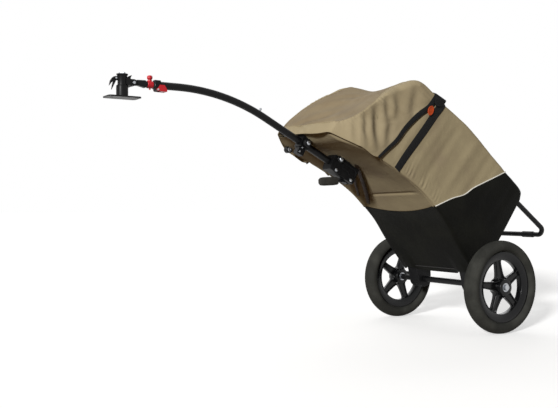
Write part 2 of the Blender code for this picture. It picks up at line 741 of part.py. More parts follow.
def make_clip():
    roll = joint_axes("roll_axis", (LOCK_X, 0, ARM_Z))
    groove_half = LOCK_PIN_RADIUS + 0.0006
    neck = TUBE_BORE - TOUCH
    plug = (
        (PLUG_RADIUS - 0.0015, ARM_END_X + 0.0040),
        (PLUG_RADIUS, ARM_END_X + 0.0020),
        (PLUG_RADIUS, LOCK_X + groove_half),
        (PLUG_GROOVE_RADIUS, LOCK_X + groove_half),
        (PLUG_GROOVE_RADIUS, LOCK_X - groove_half),
        (PLUG_RADIUS, LOCK_X - groove_half),
        (PLUG_RADIUS, BLOCK_START_X),
        (neck, BLOCK_START_X),
        (neck, DRAWBAR_START_X - PLUG_LENGTH_IN_TUBE),
    )
    turned("drawbar_plug", plug, "x", "zinc", roll, (0, ARM_Z), 16)
    low = ARM_Z - BLOCK_BELOW
    high = ARM_Z + BLOCK_ABOVE
    rings = (
        box_ring(BLOCK_START_X, BLOCK_HALF - 0.001, low + 0.001, high - 0.001, 0.004),
        box_ring(BLOCK_START_X - 0.001, BLOCK_HALF, low, high, 0.004),
        box_ring(BLOCK_END_X + 0.001, BLOCK_HALF, low, high, 0.004),
        box_ring(BLOCK_END_X, BLOCK_HALF - 0.001, low + 0.001, high - 0.001, 0.004),
    )
    block = loft("clip_block", rings, "black_plastic", roll)
    pin_at = (CLIP_PIN_X, CLIP_PIN_Z)
    lug = arc(pin_at, CLIP_LUG_RADIUS, 180, 360, 8)
    lug += [(CLIP_PIN_X + CLIP_LUG_RADIUS, low + 0.003), (CLIP_PIN_X - CLIP_LUG_RADIUS, low + 0.003)]
    fuse(block, slab("clip_lug", lug, "y", -BLOCK_HALF + 0.0005, BLOCK_HALF - 0.0005, None, roll))
    cut(block, rod("x", (0, ARM_Z), neck + TOUCH, BLOCK_END_X - 0.01, BLOCK_START_X + 0.01, roll))
    cut(block, rod("y", pin_at, CLIP_PIN_RADIUS + TOUCH, -0.03, 0.03, roll, 12))

    inner = max(BLOCK_HALF, TUBE_RADIUS) + RUN
    outer = inner + CLIP_THICKNESS
    make_pin("clip_pin", pin_at, CLIP_PIN_RADIUS, outer, roll)
    clip_axis = joint_axes("clip_axis", (CLIP_PIN_X, 0, CLIP_PIN_Z))
    end = CLIP_PIN_X - CLIP_LENGTH
    base = ARM_Z - TUBE_RADIUS - 0.0035 - CLIP_DEPTH
    cheek = arc(pin_at, 0.0042, -90, 90, 8)
    cheek += [
        (CLIP_PIN_X - 0.0060, ARM_Z + 0.0005),
        (end + 0.0080, ARM_Z + 0.0005),
        (end, ARM_Z - TUBE_RADIUS - 0.001),
        (end, base),
    ]
    bridge_start = CLIP_PIN_X - CLIP_LUG_RADIUS - 0.0080
    bridge = ((bridge_start, base + 0.0005), (end, base), (end, base + CLIP_DEPTH), (bridge_start, base + CLIP_DEPTH))
    clip = slab("safety_clip", bridge, "y", -outer, outer, "red_plastic", clip_axis)
    for side in (-1, 1):
        low_y, high_y = sorted((side * inner, side * outer))
        fuse(clip, slab("clip_cheek", cheek, "y", low_y, high_y, None, clip_axis))
    cut(clip, rod("y", pin_at, CLIP_PIN_RADIUS + RUN, -0.03, 0.03, clip_axis, 12))
    return roll


# Drawbar


def bend_point(slope):
    """A point of the drawbar's middle line on its bend, where it slopes by an angle."""
    x = BEND_START_X - BEND_RADIUS * sin(slope)
    z = ARM_Z - BEND_RADIUS * (1 - cos(slope))
    return Vector((x, 0, z))


def straight_point(u):
    """A point of the drawbar's middle line on its straight part behind the bend."""
    x = AXLE_X + u * cos(TILT) - DRAWBAR_V * sin(TILT)
    z = AXLE_Z + u * sin(TILT) + DRAWBAR_V * cos(TILT)
    return Vector((x, 0, z))


def make_drawbar(roll):
    steps = 9
    route = [Vector((DRAWBAR_START_X, 0, ARM_Z))]
    route += [bend_point(TILT * index / steps) for index in range(steps + 1)]
    route.append(straight_point(DRAWBAR_END_U))
    bar = tube("drawbar", route, TUBE_RADIUS, TUBE_BORE, "powder_coat", roll, 18)
    slope = TILT - STOP_BEFORE_STRAIGHT / BEND_RADIUS
    stop_axis = axes("stop_axis", bend_point(slope), lean=slope)
    hole = rod("z", (0, 0), STOP_RADIUS + RUN, TUBE_RADIUS / 2, TUBE_RADIUS * 2, stop_axis, 16)
    cut(bar, hole)
    flange = TUBE_BORE - 0.0020
    button = (
        (STOP_RADIUS + 0.0012, flange - 0.0020),
        (STOP_RADIUS + 0.0012, flange - 0.0006),
        (STOP_RADIUS, flange - 0.0006),
        (STOP_RADIUS, TUBE_RADIUS + STOP_PROUD - 0.0015),
        (STOP_RADIUS - 0.0015, TUBE_RADIUS + STOP_PROUD),
    )
    turned("stop_button", button, "z", "zinc", stop_axis, sides=16)

    trolley = axes("drawbar_end_axes", straight_point(DRAWBAR_END_U), lean=TILT)
    cap = (
        (TUBE_RADIUS - 0.0015, -0.0020 - TOUCH),
        (TUBE_RADIUS, -0.0010 - TOUCH),
        (TUBE_RADIUS, -TOUCH),
        (TUBE_BORE - TOUCH, -TOUCH),
        (TUBE_BORE - TOUCH, END_CAP_LENGTH),
    )
    turned("drawbar_end_cap", cap, "x", "black_plastic", trolley, sides=20)


# Bag walls, from which other pieces take their places


def wall_v(u, stations=TUB_STATIONS[:-1] + UPPER_STATIONS):
    """The v of the bag's front face at a u."""
    for (low, _), (high, _) in zip(stations, stations[1:]):
        if low[0] <= u <= high[0]:
            share = (u - low[0]) / (high[0] - low[0])
            return low[1] + (high[1] - low[1]) * share
    raise ValueError("u is off the bag's front")


def floor_u(v):
    """The u of the bag's floor at a v."""
    front, back = TUB_STATIONS[0]
    share = (v - front[1]) / (back[1] - front[1])
    return front[0] + (back[0] - front[0]) * share


def front_share(u):
    """How wide the bag's front is at a u, as a share of its back."""
    for (low_u, low), (high_u, high) in zip(CORNER_LINE, CORNER_LINE[1:]):
        if low_u <= u <= high_u:
            hood_half = low + (high - low) * (u - low_u) / (high_u - low_u)
            return min(1, (hood_half - HOOD_WALL - HOOD_SIDE_GAP) / BAG_HALF)
    return 1


def bag_ring(front, back, half, corner, inset=0.0, lift=0.0, steps=4):
    """A rectangle with round corners between a front and a back point, drawn in by inset."""
    share = front_share(front[0])
    front = Vector((front[0] + lift, 0, front[1]))
    back = Vector((back[0] + lift, 0, back[1]))
    way = (back - front).normalized()
    length = (back - front).length
    outline = rounded_box((inset, inset - half), (length - inset, half - inset), max(corner - inset, 0.002), steps)
    ring = []
    for along, y in outline:
        narrow = share + (1 - share) * along / length
        edge = 1 if y > 0 else -1
        y = y * narrow - edge * inset * (1 - narrow)
        ring.append(front + way * along + Vector((0, y, 0)))
    return ring


def half_width(index, count):
    """The tub widens from its floor to its rim."""
    return TUB_BOTTOM_HALF + (BAG_HALF - TUB_BOTTOM_HALF) * index / (count - 1)


def make_tub(parent):
    count = len(TUB_STATIONS)
    outer = []
    inner = []
    for index, (front, back) in enumerate(TUB_STATIONS):
        half = half_width(index, count)
        lift = -TOUCH if index == count - 1 else 0
        floor = BAG_WALL if index == 0 else lift
        outer.append(bag_ring(front, back, half, BAG_CORNER, lift=lift))
        inner.append(bag_ring(front, back, half, BAG_CORNER, BAG_WALL, floor))
    tub = loft("tub", outer + inner[::-1], "black_cloth", parent)
    front, back = TUB_STATIONS[0]
    clear = BAG_WALL + BOARD_CLEAR
    low = BAG_WALL + TOUCH
    rings = [bag_ring(front, back, TUB_BOTTOM_HALF, BAG_CORNER, clear, low)]
    rings.append(bag_ring(front, back, TUB_BOTTOM_HALF, BAG_CORNER, clear, low + BOARD_THICKNESS))
    board = loft("base_board", rings, "board", parent)
    return tub, board


def make_upper_bag(parent):
    outer = []
    inner = []
    for index, (front, back) in enumerate(UPPER_STATIONS):
        lift = TOUCH if index == 0 else 0
        corner = BAG_CORNER if front_share(front[0]) == 1 else NARROW_CORNER
        outer.append(bag_ring(front, back, BAG_HALF, corner, lift=lift))
        inner.append(bag_ring(front, back, BAG_HALF, corner, BAG_WALL, lift))
    bag = loft("upper_bag", outer + inner[::-1], "khaki_cloth", parent, wrap=True)
    front, back = UPPER_STATIONS[0]
    reach = PIPING_RADIUS + TOUCH + 0.0004
    ring = bag_ring(front, back, BAG_HALF, BAG_CORNER, -reach)
    round_back = ring[8::-1] + ring[:10:-1]
    tube("piping", round_back, PIPING_RADIUS, 0, "reflective", parent, 8)
    return bag


# Trolley frame


def make_rails(parent, tub_floor):
    start = max(floor_u(RAIL_V - RAIL_RADIUS), floor_u(RAIL_V + RAIL_RADIUS)) + tub_floor
    for name, side in (("rail_left", 1), ("rail_right", -1)):
        route = ((start, side * RAIL_Y, RAIL_V), (RAIL_TOP_U, side * RAIL_Y, RAIL_V))
        tube(name, route, RAIL_RADIUS, RAIL_RADIUS - RAIL_WALL, "powder_coat", parent, 14)
    corners = []
    top_u, top_v = BOW_TOP
    for side in (1, -1):
        y = side * RAIL_Y
        leg = [(RAIL_TOP_U - BOW_LEG_IN_RAIL, y, RAIL_V), (RAIL_TOP_U + 0.006, y, RAIL_V), (top_u, y, top_v)]
        corners += leg if side == 1 else leg[::-1]
    route = filleted(corners, BOW_CORNER, 3)
    bow = min(BOW_RADIUS, RAIL_RADIUS - RAIL_WALL - TOUCH)
    tube("top_bow", route, bow, bow - BOW_WALL, "powder_coat", parent, 12)
    reach = RAIL_Y - RAIL_RADIUS - TOUCH
    bar = (Vector((CROSSBAR_U, -reach, RAIL_V)), Vector((CROSSBAR_U, reach, RAIL_V)))
    tube("crossbar", bar, RAIL_RADIUS, RAIL_RADIUS - RAIL_WALL, "powder_coat", parent, 16)


def stand_route():
    points = []
    for side in (1, -1):
        leg = [
            (STAND_INNER_END[0], side * STAND_Y, STAND_INNER_END[1]),
            (STAND_KNEE[0], side * STAND_Y, STAND_KNEE[1]),
            (STAND_BAR[0], side * STAND_BAR_Y, STAND_BAR[1]),
        ]
        points += leg if side == 1 else leg[::-1]
    return filleted(points, STAND_CORNER, 3)


def make_stand(parent, tub, board):
    route = stand_route()
    tube("stand_loop", route, STAND_RADIUS, STAND_RADIUS - STAND_WALL, "powder_coat", parent, 12)
    for side in (1, -1):
        start = Vector((STAND_INNER_END[0], side * STAND_Y, STAND_INNER_END[1]))
        end = Vector((STAND_KNEE[0], side * STAND_Y, STAND_KNEE[1]))
        way = (end - start).normalized()
        reach = (start - way * 0.010, start + way * 0.080)
        for target in (tub, board):
            cut(target, tube("leg_hole", reach, STAND_RADIUS + RUN, 0, None, parent, 12))
    sleeve = (
        (STAND_RADIUS + TOUCH, SLEEVE_FROM_Y),
        (SLEEVE_RADIUS - 0.001, SLEEVE_FROM_Y),
        (SLEEVE_RADIUS, SLEEVE_FROM_Y + 0.001),
        (SLEEVE_RADIUS, SLEEVE_TO_Y - 0.001),
        (SLEEVE_RADIUS - 0.001, SLEEVE_TO_Y),
        (STAND_RADIUS + TOUCH, SLEEVE_TO_Y),
    )
    turned("stand_sleeve", sleeve, "y", "black_plastic", parent, STAND_BAR, 20, wrap=True)


def make_upper_clamp(parent, bag):
    low_u, high_u = UPPER_CLAMP_U
    ring = BOW_RADIUS + 0.0043
    outline = [(low_u, DRAWBAR_V - UPPER_CLAMP_HALF), (high_u, DRAWBAR_V - UPPER_CLAMP_HALF)]
    outline += arc(BOW_TOP, ring, 0, 180, 10)
    outline += [(low_u, wall_v(low_u) - 0.001)]
    clamp = slab("upper_clamp", outline, "y", -UPPER_CLAMP_HALF, UPPER_CLAMP_HALF, "black_plastic", parent)
    lug = ((low_u + 0.002, UPPER_LUG_BOTTOM_V), (high_u - 0.002, UPPER_LUG_BOTTOM_V))
    lug += ((high_u - 0.002, DRAWBAR_V - 0.012), (low_u + 0.002, DRAWBAR_V - 0.012))
    fuse(clamp, slab("guide_lug", lug, "y", -UPPER_LUG_HALF, UPPER_LUG_HALF, None, parent))
    cut(clamp, rod("x", (0, DRAWBAR_V), CLAMP_BORE, low_u - PAST, high_u + PAST, parent, 24))
    cut(clamp, rod("y", BOW_TOP, BOW_RADIUS + TOUCH, -PAST, PAST, parent))
    knob_at = (KNOB_U, KNOB_V)
    cut(clamp, rod("y", knob_at, KNOB_SHAFT_RADIUS + RUN, 0, PAST, parent, 16))
    screw_u = high_u - 0.010
    for name, v in zip(("guide_screw_upper", "guide_screw_lower"), GUIDE_SCREW_VS):
        cut(clamp, rod("y", (screw_u, v), GUIDE_SCREW_RADIUS + TOUCH, -PAST, PAST, parent, 12))
        half = UPPER_CLAMP_HALF if v > DRAWBAR_V - UPPER_CLAMP_HALF - 0.002 else UPPER_LUG_HALF
        make_pin(name, (screw_u, v), GUIDE_SCREW_RADIUS, half, parent)
    knob_axis = joint_axes("knob_axis", (KNOB_U, 0, KNOB_V), parent)
    face = UPPER_CLAMP_HALF + 0.004
    knob = (
        (KNOB_SHAFT_RADIUS, TUBE_RADIUS + RUN),
        (KNOB_SHAFT_RADIUS, UPPER_CLAMP_HALF + TOUCH),
        (KNOB_SHAFT_RADIUS + 0.003, UPPER_CLAMP_HALF + TOUCH),
        (KNOB_SHAFT_RADIUS + 0.003, face),
        (KNOB_RADIUS - 0.001, face, 10),
        (KNOB_RADIUS - 0.0005, face + 0.001, 10),
        (KNOB_RADIUS - 0.0005, face + KNOB_LENGTH - 0.002, 10),
        (KNOB_RADIUS - 0.003, face + KNOB_LENGTH),
    )
    turned("clamp_knob", knob, "y", "black_plastic", knob_axis, knob_at, 20)
    window = UPPER_CLAMP_HALF + 0.001
    low = low_u - 0.0045
    high = high_u + 0.0065
    opening = ((low, DRAWBAR_V), (high, DRAWBAR_V), (high, BOW_TOP[1]), (low, BOW_TOP[1]))
    cut(bag, slab("upper_window", opening, "y", -window, window, None, parent))


def make_lower_clamp(parent, bag):
    low_u, high_u = LOWER_CLAMP_U
    half = LOWER_CLAMP_HALF
    ring_at = (CROSSBAR_U, RAIL_V)
    ring = RAIL_RADIUS + 0.0045
    outline = [
        (low_u + 0.003, LOWER_CLAMP_BOTTOM_V - 0.0030),
        (LOWER_LUG_END_U, LOWER_CLAMP_BOTTOM_V - 0.0030),
        (LOWER_LUG_END_U + 0.004, LOWER_CLAMP_BOTTOM_V),
        (high_u, LOWER_CLAMP_BOTTOM_V),
        (high_u + 0.004, DRAWBAR_V),
        (high_u, LOWER_CLAMP_BACK_V),
        (CROSSBAR_U + ring, LOWER_CLAMP_BACK_V),
    ]
    outline += arc(ring_at, ring, 0, 180, 10)
    outline += [(CROSSBAR_U - ring, LOWER_CLAMP_BACK_V), (low_u, LOWER_CLAMP_BACK_V), (low_u, DRAWBAR_V - 0.015)]
    clamp = slab("lower_clamp", outline, "y", -half, half, "black_plastic", parent)
    cut(clamp, rod("x", (0, DRAWBAR_V), CLAMP_BORE, low_u - PAST, high_u + PAST, parent, 24))
    cut(clamp, rod("y", ring_at, RAIL_RADIUS + TOUCH, -PAST, PAST, parent, 24))
    slot_half = LEVER_HALF + RUN
    slot_start = LEVER_PIVOT[0] - CAM_RADIUS - 0.002
    slot_end = LOWER_LUG_END_U - 0.001
    slot_low = LOWER_CLAMP_BOTTOM_V - PAST
    slot = ((slot_start, slot_low), (slot_end, slot_low), (slot_end, DRAWBAR_V), (slot_start, DRAWBAR_V))
    cut(clamp, slab("lever_slot", slot, "y", -slot_half, slot_half, None, parent))
    cut(clamp, rod("y", LEVER_PIVOT, CLAMP_BOLT_RADIUS + TOUCH, -PAST, PAST, parent, 16))
    for name, v in zip(("clamp_bolt_upper", "clamp_bolt_lower"), CLAMP_BOLT_VS):
        cut(clamp, rod("y", (CLAMP_BOLT_U, v), CLAMP_BOLT_RADIUS + TOUCH, -PAST, PAST, parent, 16))
        make_hex_bolt(name, (CLAMP_BOLT_U, v), half, parent)
    make_hex_bolt("lever_bolt", LEVER_PIVOT, half, parent)
    window = half + 0.001
    low = CROSSBAR_U - ring - 0.001
    high = CROSSBAR_U + ring + 0.001
    opening = ((low, DRAWBAR_V), (high, DRAWBAR_V), (high, RAIL_V), (low, RAIL_V))
    cut(bag, slab("lower_window", opening, "y", -window, window, None, parent))


def make_hex_bolt(name, centre, half, parent):
    """A bolt along Y with its hexagon head on the left and its nut on the right."""
    radius = CLAMP_BOLT_RADIUS
    flat = radius * 1.75
    face = half + TOUCH
    profile = (
        (radius, -face - 0.0045),
        (flat, -face - 0.0040, 6),
        (flat, -face, 6),
        (radius, -face),
        (radius, face),
        (flat, face, 6),
        (flat, face + 0.0030, 6),
        (flat - 0.001, face + 0.0036),
    )
    turned(name, profile, "y", "zinc", parent, centre, 12)


def make_cam_lever(parent):
    cam_axis = joint_axes("cam_axis", (LEVER_PIVOT[0], 0, LEVER_PIVOT[1]), parent)
    way = (cos(LEVER_ANGLE), sin(LEVER_ANGLE))
    up = (-way[1], way[0])

    def lever_point(along, above):
        x = LEVER_PIVOT[0] + way[0] * along + up[0] * above
        z = LEVER_PIVOT[1] + way[1] * along + up[1] * above
        return (x, z)

    start = degrees(LEVER_ANGLE) + 35
    outline = arc(LEVER_PIVOT, CAM_RADIUS, start, start + 290, 16)
    outline += [lever_point(0.020, -0.0050), lever_point(LEVER_LENGTH - 0.012, -0.0045)]
    outline += [lever_point(LEVER_LENGTH - 0.012, 0.0045), lever_point(0.020, 0.0040)]
    lever = slab("cam_lever", outline, "y", -LEVER_HALF, LEVER_HALF, "powder_coat", cam_axis)
    cut(lever, rod("y", LEVER_PIVOT, CLAMP_BOLT_RADIUS + RUN, -PAST, PAST, cam_axis, 16))
    grip_start = LEVER_LENGTH - GRIP_LENGTH
    rings = []
    for along, share in ((0, 0.72), (0.004, 0.9), (0.020, 1), (GRIP_LENGTH - 0.020, 1), (GRIP_LENGTH - 0.006, 0.9), (GRIP_LENGTH, 0.6)):
        half_height = GRIP_HEIGHT / 2 * share
        half_width_here = GRIP_WIDTH / 2 * share
        corner = min(half_height, half_width_here) * 0.8
        ring = []
        for y, above in rounded_box((-half_width_here, -half_height), (half_width_here, half_height), corner, 4):
            x, z = lever_point(grip_start + along, above)
            ring.append(Vector((x, y, z)))
        rings.append(ring)
    grip = loft("lever_grip", rings, "black_rubber", cam_axis)
    slot = [lever_point(grip_start - 0.01, -0.0050 - TOUCH), lever_point(LEVER_LENGTH - 0.011, -0.0048 - TOUCH)]
    slot += [lever_point(LEVER_LENGTH - 0.011, 0.0048 + TOUCH), lever_point(grip_start - 0.01, 0.0048 + TOUCH)]
    cut(grip, slab("grip_slot", slot, "y", -LEVER_HALF - TOUCH, LEVER_HALF + TOUCH, None, cam_axis))


# Hood and straps


def hood_station(y, inset):
    """The outline of the hood's top at a y: it sags between its humps, of which the far one
    stands higher, and rounds at its sides."""
    span = max(0.0, 1 - (y / HOOD_HUMP_Y) ** 2)
    sag = HOOD_SAG * span**2
    past = max(0.0, (abs(y) - (HOOD_HALF - HOOD_SHOULDER_WIDTH)) / HOOD_SHOULDER_WIDTH)
    drop = HOOD_SHOULDER * past**3
    far = min(1.0, max(0.0, -y / HOOD_FAR_LIFT_RUN))
    lift = HOOD_FAR_LIFT * far**2 * (3 - 2 * far)
    points = []
    for index, (u, v) in enumerate(HOOD_TOP):
        before = HOOD_TOP[max(index - 1, 0)]
        after = HOOD_TOP[min(index + 1, len(HOOD_TOP) - 1)]
        run = (after[0] - before[0], after[1] - before[1])
        length = hypot(*run)
        inward = (-run[1] / length, run[0] / length)
        at_hinge = index == 0
        depth = inset + sag * HOOD_SAG_SHARE[index] + (0 if at_hinge else drop)
        depth -= lift * HOOD_FAR_LIFT_SHARE[index]
        points.append((u + inward[0] * depth, v + inward[1] * depth))
    return points


def corner_cutter(side, inset, parent):
    """A cutter outside one sloping front corner of the hood; inset moves it inwards."""
    line = []
    for index, (u, y) in enumerate(CORNER_LINE):
        before = Vector(CORNER_LINE[max(index - 1, 0)])
        after = Vector(CORNER_LINE[min(index + 1, len(CORNER_LINE) - 1)])
        way = (after - before).normalized()
        line.append((u + way[1] * inset, y - way[0] * inset))
    low_v = HOOD_HINGE[1] - 2 * PAST
    high_v = HOOD_HINGE[1] + 4 * PAST
    outline = line + [(line[-1][0] + PAST, line[-1][1]), (line[-1][0] + PAST, HOOD_HALF + PAST)]
    outline.append((line[0][0], HOOD_HALF + PAST))
    rings = []
    for v in (low_v, high_v):
        lean = CORNER_LEAN * (v - HOOD_HINGE[1])
        rings.append([Vector((u + lean, side * y, v)) for u, y in outline])
    return loft("corner_cutter", rings, None, parent)


def make_hood(trolley):
    lid = joint_axes("lid_axis", (HOOD_HINGE[0], 0, HOOD_HINGE[1]), trolley)
    hem = [(u - STRAP_HALF, v) for u, v in HEM_LINE]
    hem[0] = (HOOD_TOP[-1][0], HEM_LINE[0][1])
    steps = 14
    outer_rings = []
    inner_rings = []
    for index in range(steps + 1):
        share = -cos(pi * index / steps)
        y = HOOD_HALF * share
        ring = hood_station(y, 0) + hem + list(HOOD_FRONT)
        outer_rings.append([Vector((u, y, v)) for u, v in ring])
        y = HOOD_INNER_HALF * share
        top = hood_station(y, HOOD_WALL)[1:]
        top[-1] = (HOOD_TOP[-1][0] - 0.02, HOOD_BACK_V)
        low_v = HOOD_HINGE[1] - PAST
        ring = [(HOOD_HINGE[0] + PAST, low_v), (HOOD_HINGE[0] + PAST, HOOD_FRONT_HEM_V)]
        ring += [(HOOD_HINGE[0] - HOOD_WALL, HOOD_FRONT_HEM_V)] + top
        ring += [(HOOD_TOP[-1][0] - PAST, HEM_LINE[0][1]), (HOOD_TOP[-1][0] - PAST, low_v)]
        inner_rings.append([Vector((u, y, v)) for u, v in ring])
    hood = loft("hood", outer_rings, "khaki_cloth", lid)
    hollow = loft("hood_hollow", inner_rings, None, lid)
    for side in (-1, 1):
        cut(hood, corner_cutter(side, 0, lid))
        cut(hollow, corner_cutter(side, HOOD_WALL, lid))
    cut(hood, hollow)

    def band(points, half):
        low = [(u - half, v) for u, v in points]
        high = [(u + half, v) for u, v in points]
        return low + high[::-1]

    def strap_hollow(points, back_v):
        low_u = min(u for u, _ in points) - PAST
        high_u = max(u for u, _ in points) + PAST
        low_v = min(v for _, v in points) - PAST
        return ((low_u, low_v), (high_u, low_v), (high_u, back_v), (low_u, back_v))

    inner_y = HOOD_HALF + TOUCH
    outer_y = inner_y + STRAP_THICKNESS
    back_v = HOOD_STRAP_BACK_V
    line = [(HEM_LINE[0][0] + 0.002, back_v + STRAP_THICKNESS)] + list(HEM_LINE)
    strap = slab("hood_strap", band(line, STRAP_HALF), "y", -outer_y, outer_y, "webbing", lid)
    keep_out = strap_hollow(line, back_v)
    cut(strap, slab("strap_hollow", keep_out, "y", -inner_y, inner_y, None, lid))
    u, v = TAG_AT
    tag = rounded_box((u - TAG_SIZE[1] / 2, v - TAG_SIZE[0] / 2), (u + TAG_SIZE[1] / 2, v + TAG_SIZE[0] / 2), 0.003)
    slab("strap_tag", tag, "y", outer_y + TOUCH, outer_y + TOUCH + TAG_THICKNESS, "orange_rubber", lid)

    inner_y = BAG_HALF + TOUCH
    outer_y = inner_y + STRAP_THICKNESS - 0.0008
    back_v = SIDE_STRAP_BACK_V
    line = [(SIDE_STRAP_LINE[-1][0], back_v + STRAP_THICKNESS)] + list(SIDE_STRAP_LINE[::-1])
    strap = slab("side_strap", band(line, STRAP_HALF), "y", -outer_y, outer_y, "webbing", trolley)
    keep_out = strap_hollow(line, back_v)
    cut(strap, slab("side_strap_hollow", keep_out, "y", -inner_y, inner_y, None, trolley))


def make_keeper(parent):
    """A narrow strap laid slantwise on the bag's front."""
    start = Vector(KEEPER_START)
    end = Vector(KEEPER_END)
    way = (end - start).normalized()
    side = Vector((-way[1], way[0]))
    rings = []
    for index in range(KEEPER_PIECES + 1):
        middle = start + (end - start) * index / KEEPER_PIECES
        left = middle + side * KEEPER_HALF
        right = middle - side * KEEPER_HALF
        ring = []
        for point, proud in ((left, 0), (right, 0), (right, STRAP_THICKNESS), (left, STRAP_THICKNESS)):
            v = wall_v(point[0]) - 0.0006 - proud
            ring.append(Vector((point[0], point[1], v)))
        rings.append(ring)
    return loft("keeper_strap", rings, "webbing", parent)


# Axle and wheels


def make_axle(parent):
    reach = AXLE_END_Y
    tube("axle_tube", ((0, -reach, 0), (0, reach, 0)), AXLE_RADIUS, AXLE_RADIUS - AXLE_WALL, "powder_coat", parent)
    front, back = TUB_STATIONS[0]

    def under_floor(share):
        u = front[0] + (back[0] - front[0]) * share
        v = front[1] + (back[1] - front[1]) * share
        return (u - TOUCH * 2, v)

    top_front = under_floor(CLAMP_TOP_FROM)
    top_back = under_floor(CLAMP_TOP_TO)
    outline = [top_back, (top_back[0] - 0.014, top_back[1])]
    outline += arc((0, 0), CLAMP_RADIUS, 120, 340, 16)
    outline += [top_front]
    corners = (top_front, top_back, (top_back[0] - 0.014, top_back[1]), (-0.010, CLAMP_RADIUS), (0.026, CLAMP_RADIUS))
    middle_u = sum(u for u, _ in corners) / len(corners)
    middle_v = sum(v for _, v in corners) / len(corners)
    pocket = [(middle_u + (u - middle_u) * 0.72, middle_v + (v - middle_v) * 0.86) for u, v in corners]
    for name, side in (("axle_clamp_left", 1), ("axle_clamp_right", -1)):
        low, high = sorted((side * CLAMP_FROM_Y, side * CLAMP_TO_Y))
        clamp = slab(name, outline, "y", low, high, "black_plastic", parent)
        cut(clamp, rod("y", (0, 0), AXLE_RADIUS + TOUCH, -0.3, 0.3, parent, 20))
        low, high = sorted((side * (CLAMP_FROM_Y - 0.01), side * (CLAMP_TO_Y - CLAMP_POCKET_WALL)))
        cut(clamp, slab("clamp_pocket", pocket, "y", low, high, None, parent))


def make_axle_bolt(name, side, parent):
    stub = AXLE_RADIUS - AXLE_WALL - TOUCH
    seat = HUB_FACE_Y + 0.0007
    profile = (
        (stub, AXLE_END_Y - AXLE_STUB_LENGTH),
        (stub, AXLE_END_Y + TOUCH),
        (AXLE_RADIUS, AXLE_END_Y + TOUCH),
        (AXLE_RADIUS, AXLE_END_Y + 0.0013),
        (AXLE_BOLT_RADIUS, AXLE_END_Y + 0.0013),
        (AXLE_BOLT_RADIUS, seat),
        (AXLE_BOLT_HEAD, seat, 6),
        (AXLE_BOLT_HEAD, seat + AXLE_BOLT_HEAD_HEIGHT - 0.001, 6),
        (AXLE_BOLT_HEAD - 0.0012, seat + AXLE_BOLT_HEAD_HEIGHT),
    )
    turned(name, [(entry[0], side * entry[1], *entry[2:]) for entry in profile], "y", "zinc", parent, sides=18)


def tyre_profile(middle):
    """The tyre's section: an oval round the inner tube, open towards the rim, with two beads."""
    height = WHEEL_RADIUS - TYRE_CENTRE
    turn = 118
    outer = arc((0, 0), 1, -turn, turn, 10)
    section = [(TYRE_CENTRE + height * c, middle + TYRE_HALF * s) for c, s in outer]
    bead_out = RIM_HALF - RIM_FLANGE_THICKNESS - 0.0008
    foot = RIM_INNER + RIM_WALL + 0.0035
    section += [(RIM_FLANGE + 0.0015, middle + bead_out), (foot, middle + bead_out - 0.0020)]
    section += [(foot, middle + bead_out - 0.0065), (RIM_FLANGE + 0.0030, middle + bead_out - 0.0050)]
    inner = arc((0, 0), 1, turn, -turn, 8)
    section += [(TYRE_CENTRE + (height - TYRE_WALL) * c, middle + (TYRE_HALF - TYRE_WALL) * s) for c, s in inner]
    section += [(RIM_FLANGE + 0.0030, middle - bead_out + 0.0050), (foot, middle - bead_out + 0.0065)]
    section += [(foot, middle - bead_out + 0.0020), (RIM_FLANGE + 0.0015, middle - bead_out)]
    return section


def oval_profile(centre, height, half, middle, points):
    return [(centre + height * c, middle + half * s) for c, s in arc((0, 0), 1, 0, 360 * (points - 1) / points, points - 1)]


def make_rim(name, middle, phase, parent):
    bed = RIM_INNER + RIM_WALL
    lip = RIM_HALF - RIM_FLANGE_THICKNESS
    band = (
        (RIM_INNER, middle - 0.011),
        (RIM_INNER, middle + 0.011),
        (bed + 0.005, middle + RIM_HALF - 0.001),
        (RIM_FLANGE - 0.001, middle + RIM_HALF),
        (RIM_FLANGE, middle + lip),
        (bed + 0.004, middle + lip - 0.001),
        (bed, middle + lip - 0.006),
        (bed, middle - lip + 0.006),
        (bed + 0.004, middle - lip + 0.001),
        (RIM_FLANGE, middle - lip),
        (RIM_FLANGE - 0.001, middle - RIM_HALF),
        (bed + 0.005, middle - RIM_HALF + 0.001),
    )
    rim = turned(name, band, "y", "glossy_plastic", parent, sides=36, wrap=True)
    hub = (
        (HUB_RADIUS - 0.002, middle - HUB_HALF),
        (HUB_RADIUS, middle - HUB_HALF + 0.002),
        (HUB_RADIUS, middle + HUB_HALF - 0.002),
        (HUB_RADIUS - 0.002, middle + HUB_HALF),
    )
    fuse(rim, turned("hub", hub, "y", None, parent, sides=20))
    for index in range(SPOKES):
        fuse(rim, make_spoke(middle, phase + 2 * pi * index / SPOKES, parent))
    cut(rim, rod("y", (0, 0), HUB_BORE, middle - 0.05, middle + 0.05, parent, 16))
    return rim


def make_spoke(middle, angle, parent):
    """A tapering spoke with a rib along each edge."""
    rings = []
    out = Vector((cos(angle), 0, sin(angle)))
    across = Vector((-sin(angle), 0, cos(angle)))
    for radius, half in ((HUB_RADIUS * 0.75, SPOKE_ROOT_HALF), (RIM_INNER + 0.004, SPOKE_TIP_HALF)):
        edge = half - SPOKE_RIB
        rib = SPOKE_RIB_HALF
        web = SPOKE_WEB_HALF
        section = (
            (-half, -rib), (-edge, -rib), (-edge, -web), (edge, -web), (edge, -rib), (half, -rib),
            (half, rib), (edge, rib), (edge, web), (-edge, web), (-edge, rib), (-half, rib),
        )
        rings.append([out * radius + across * a + Vector((0, middle + b, 0)) for a, b in section])
    return loft("spoke", rings, None, parent)


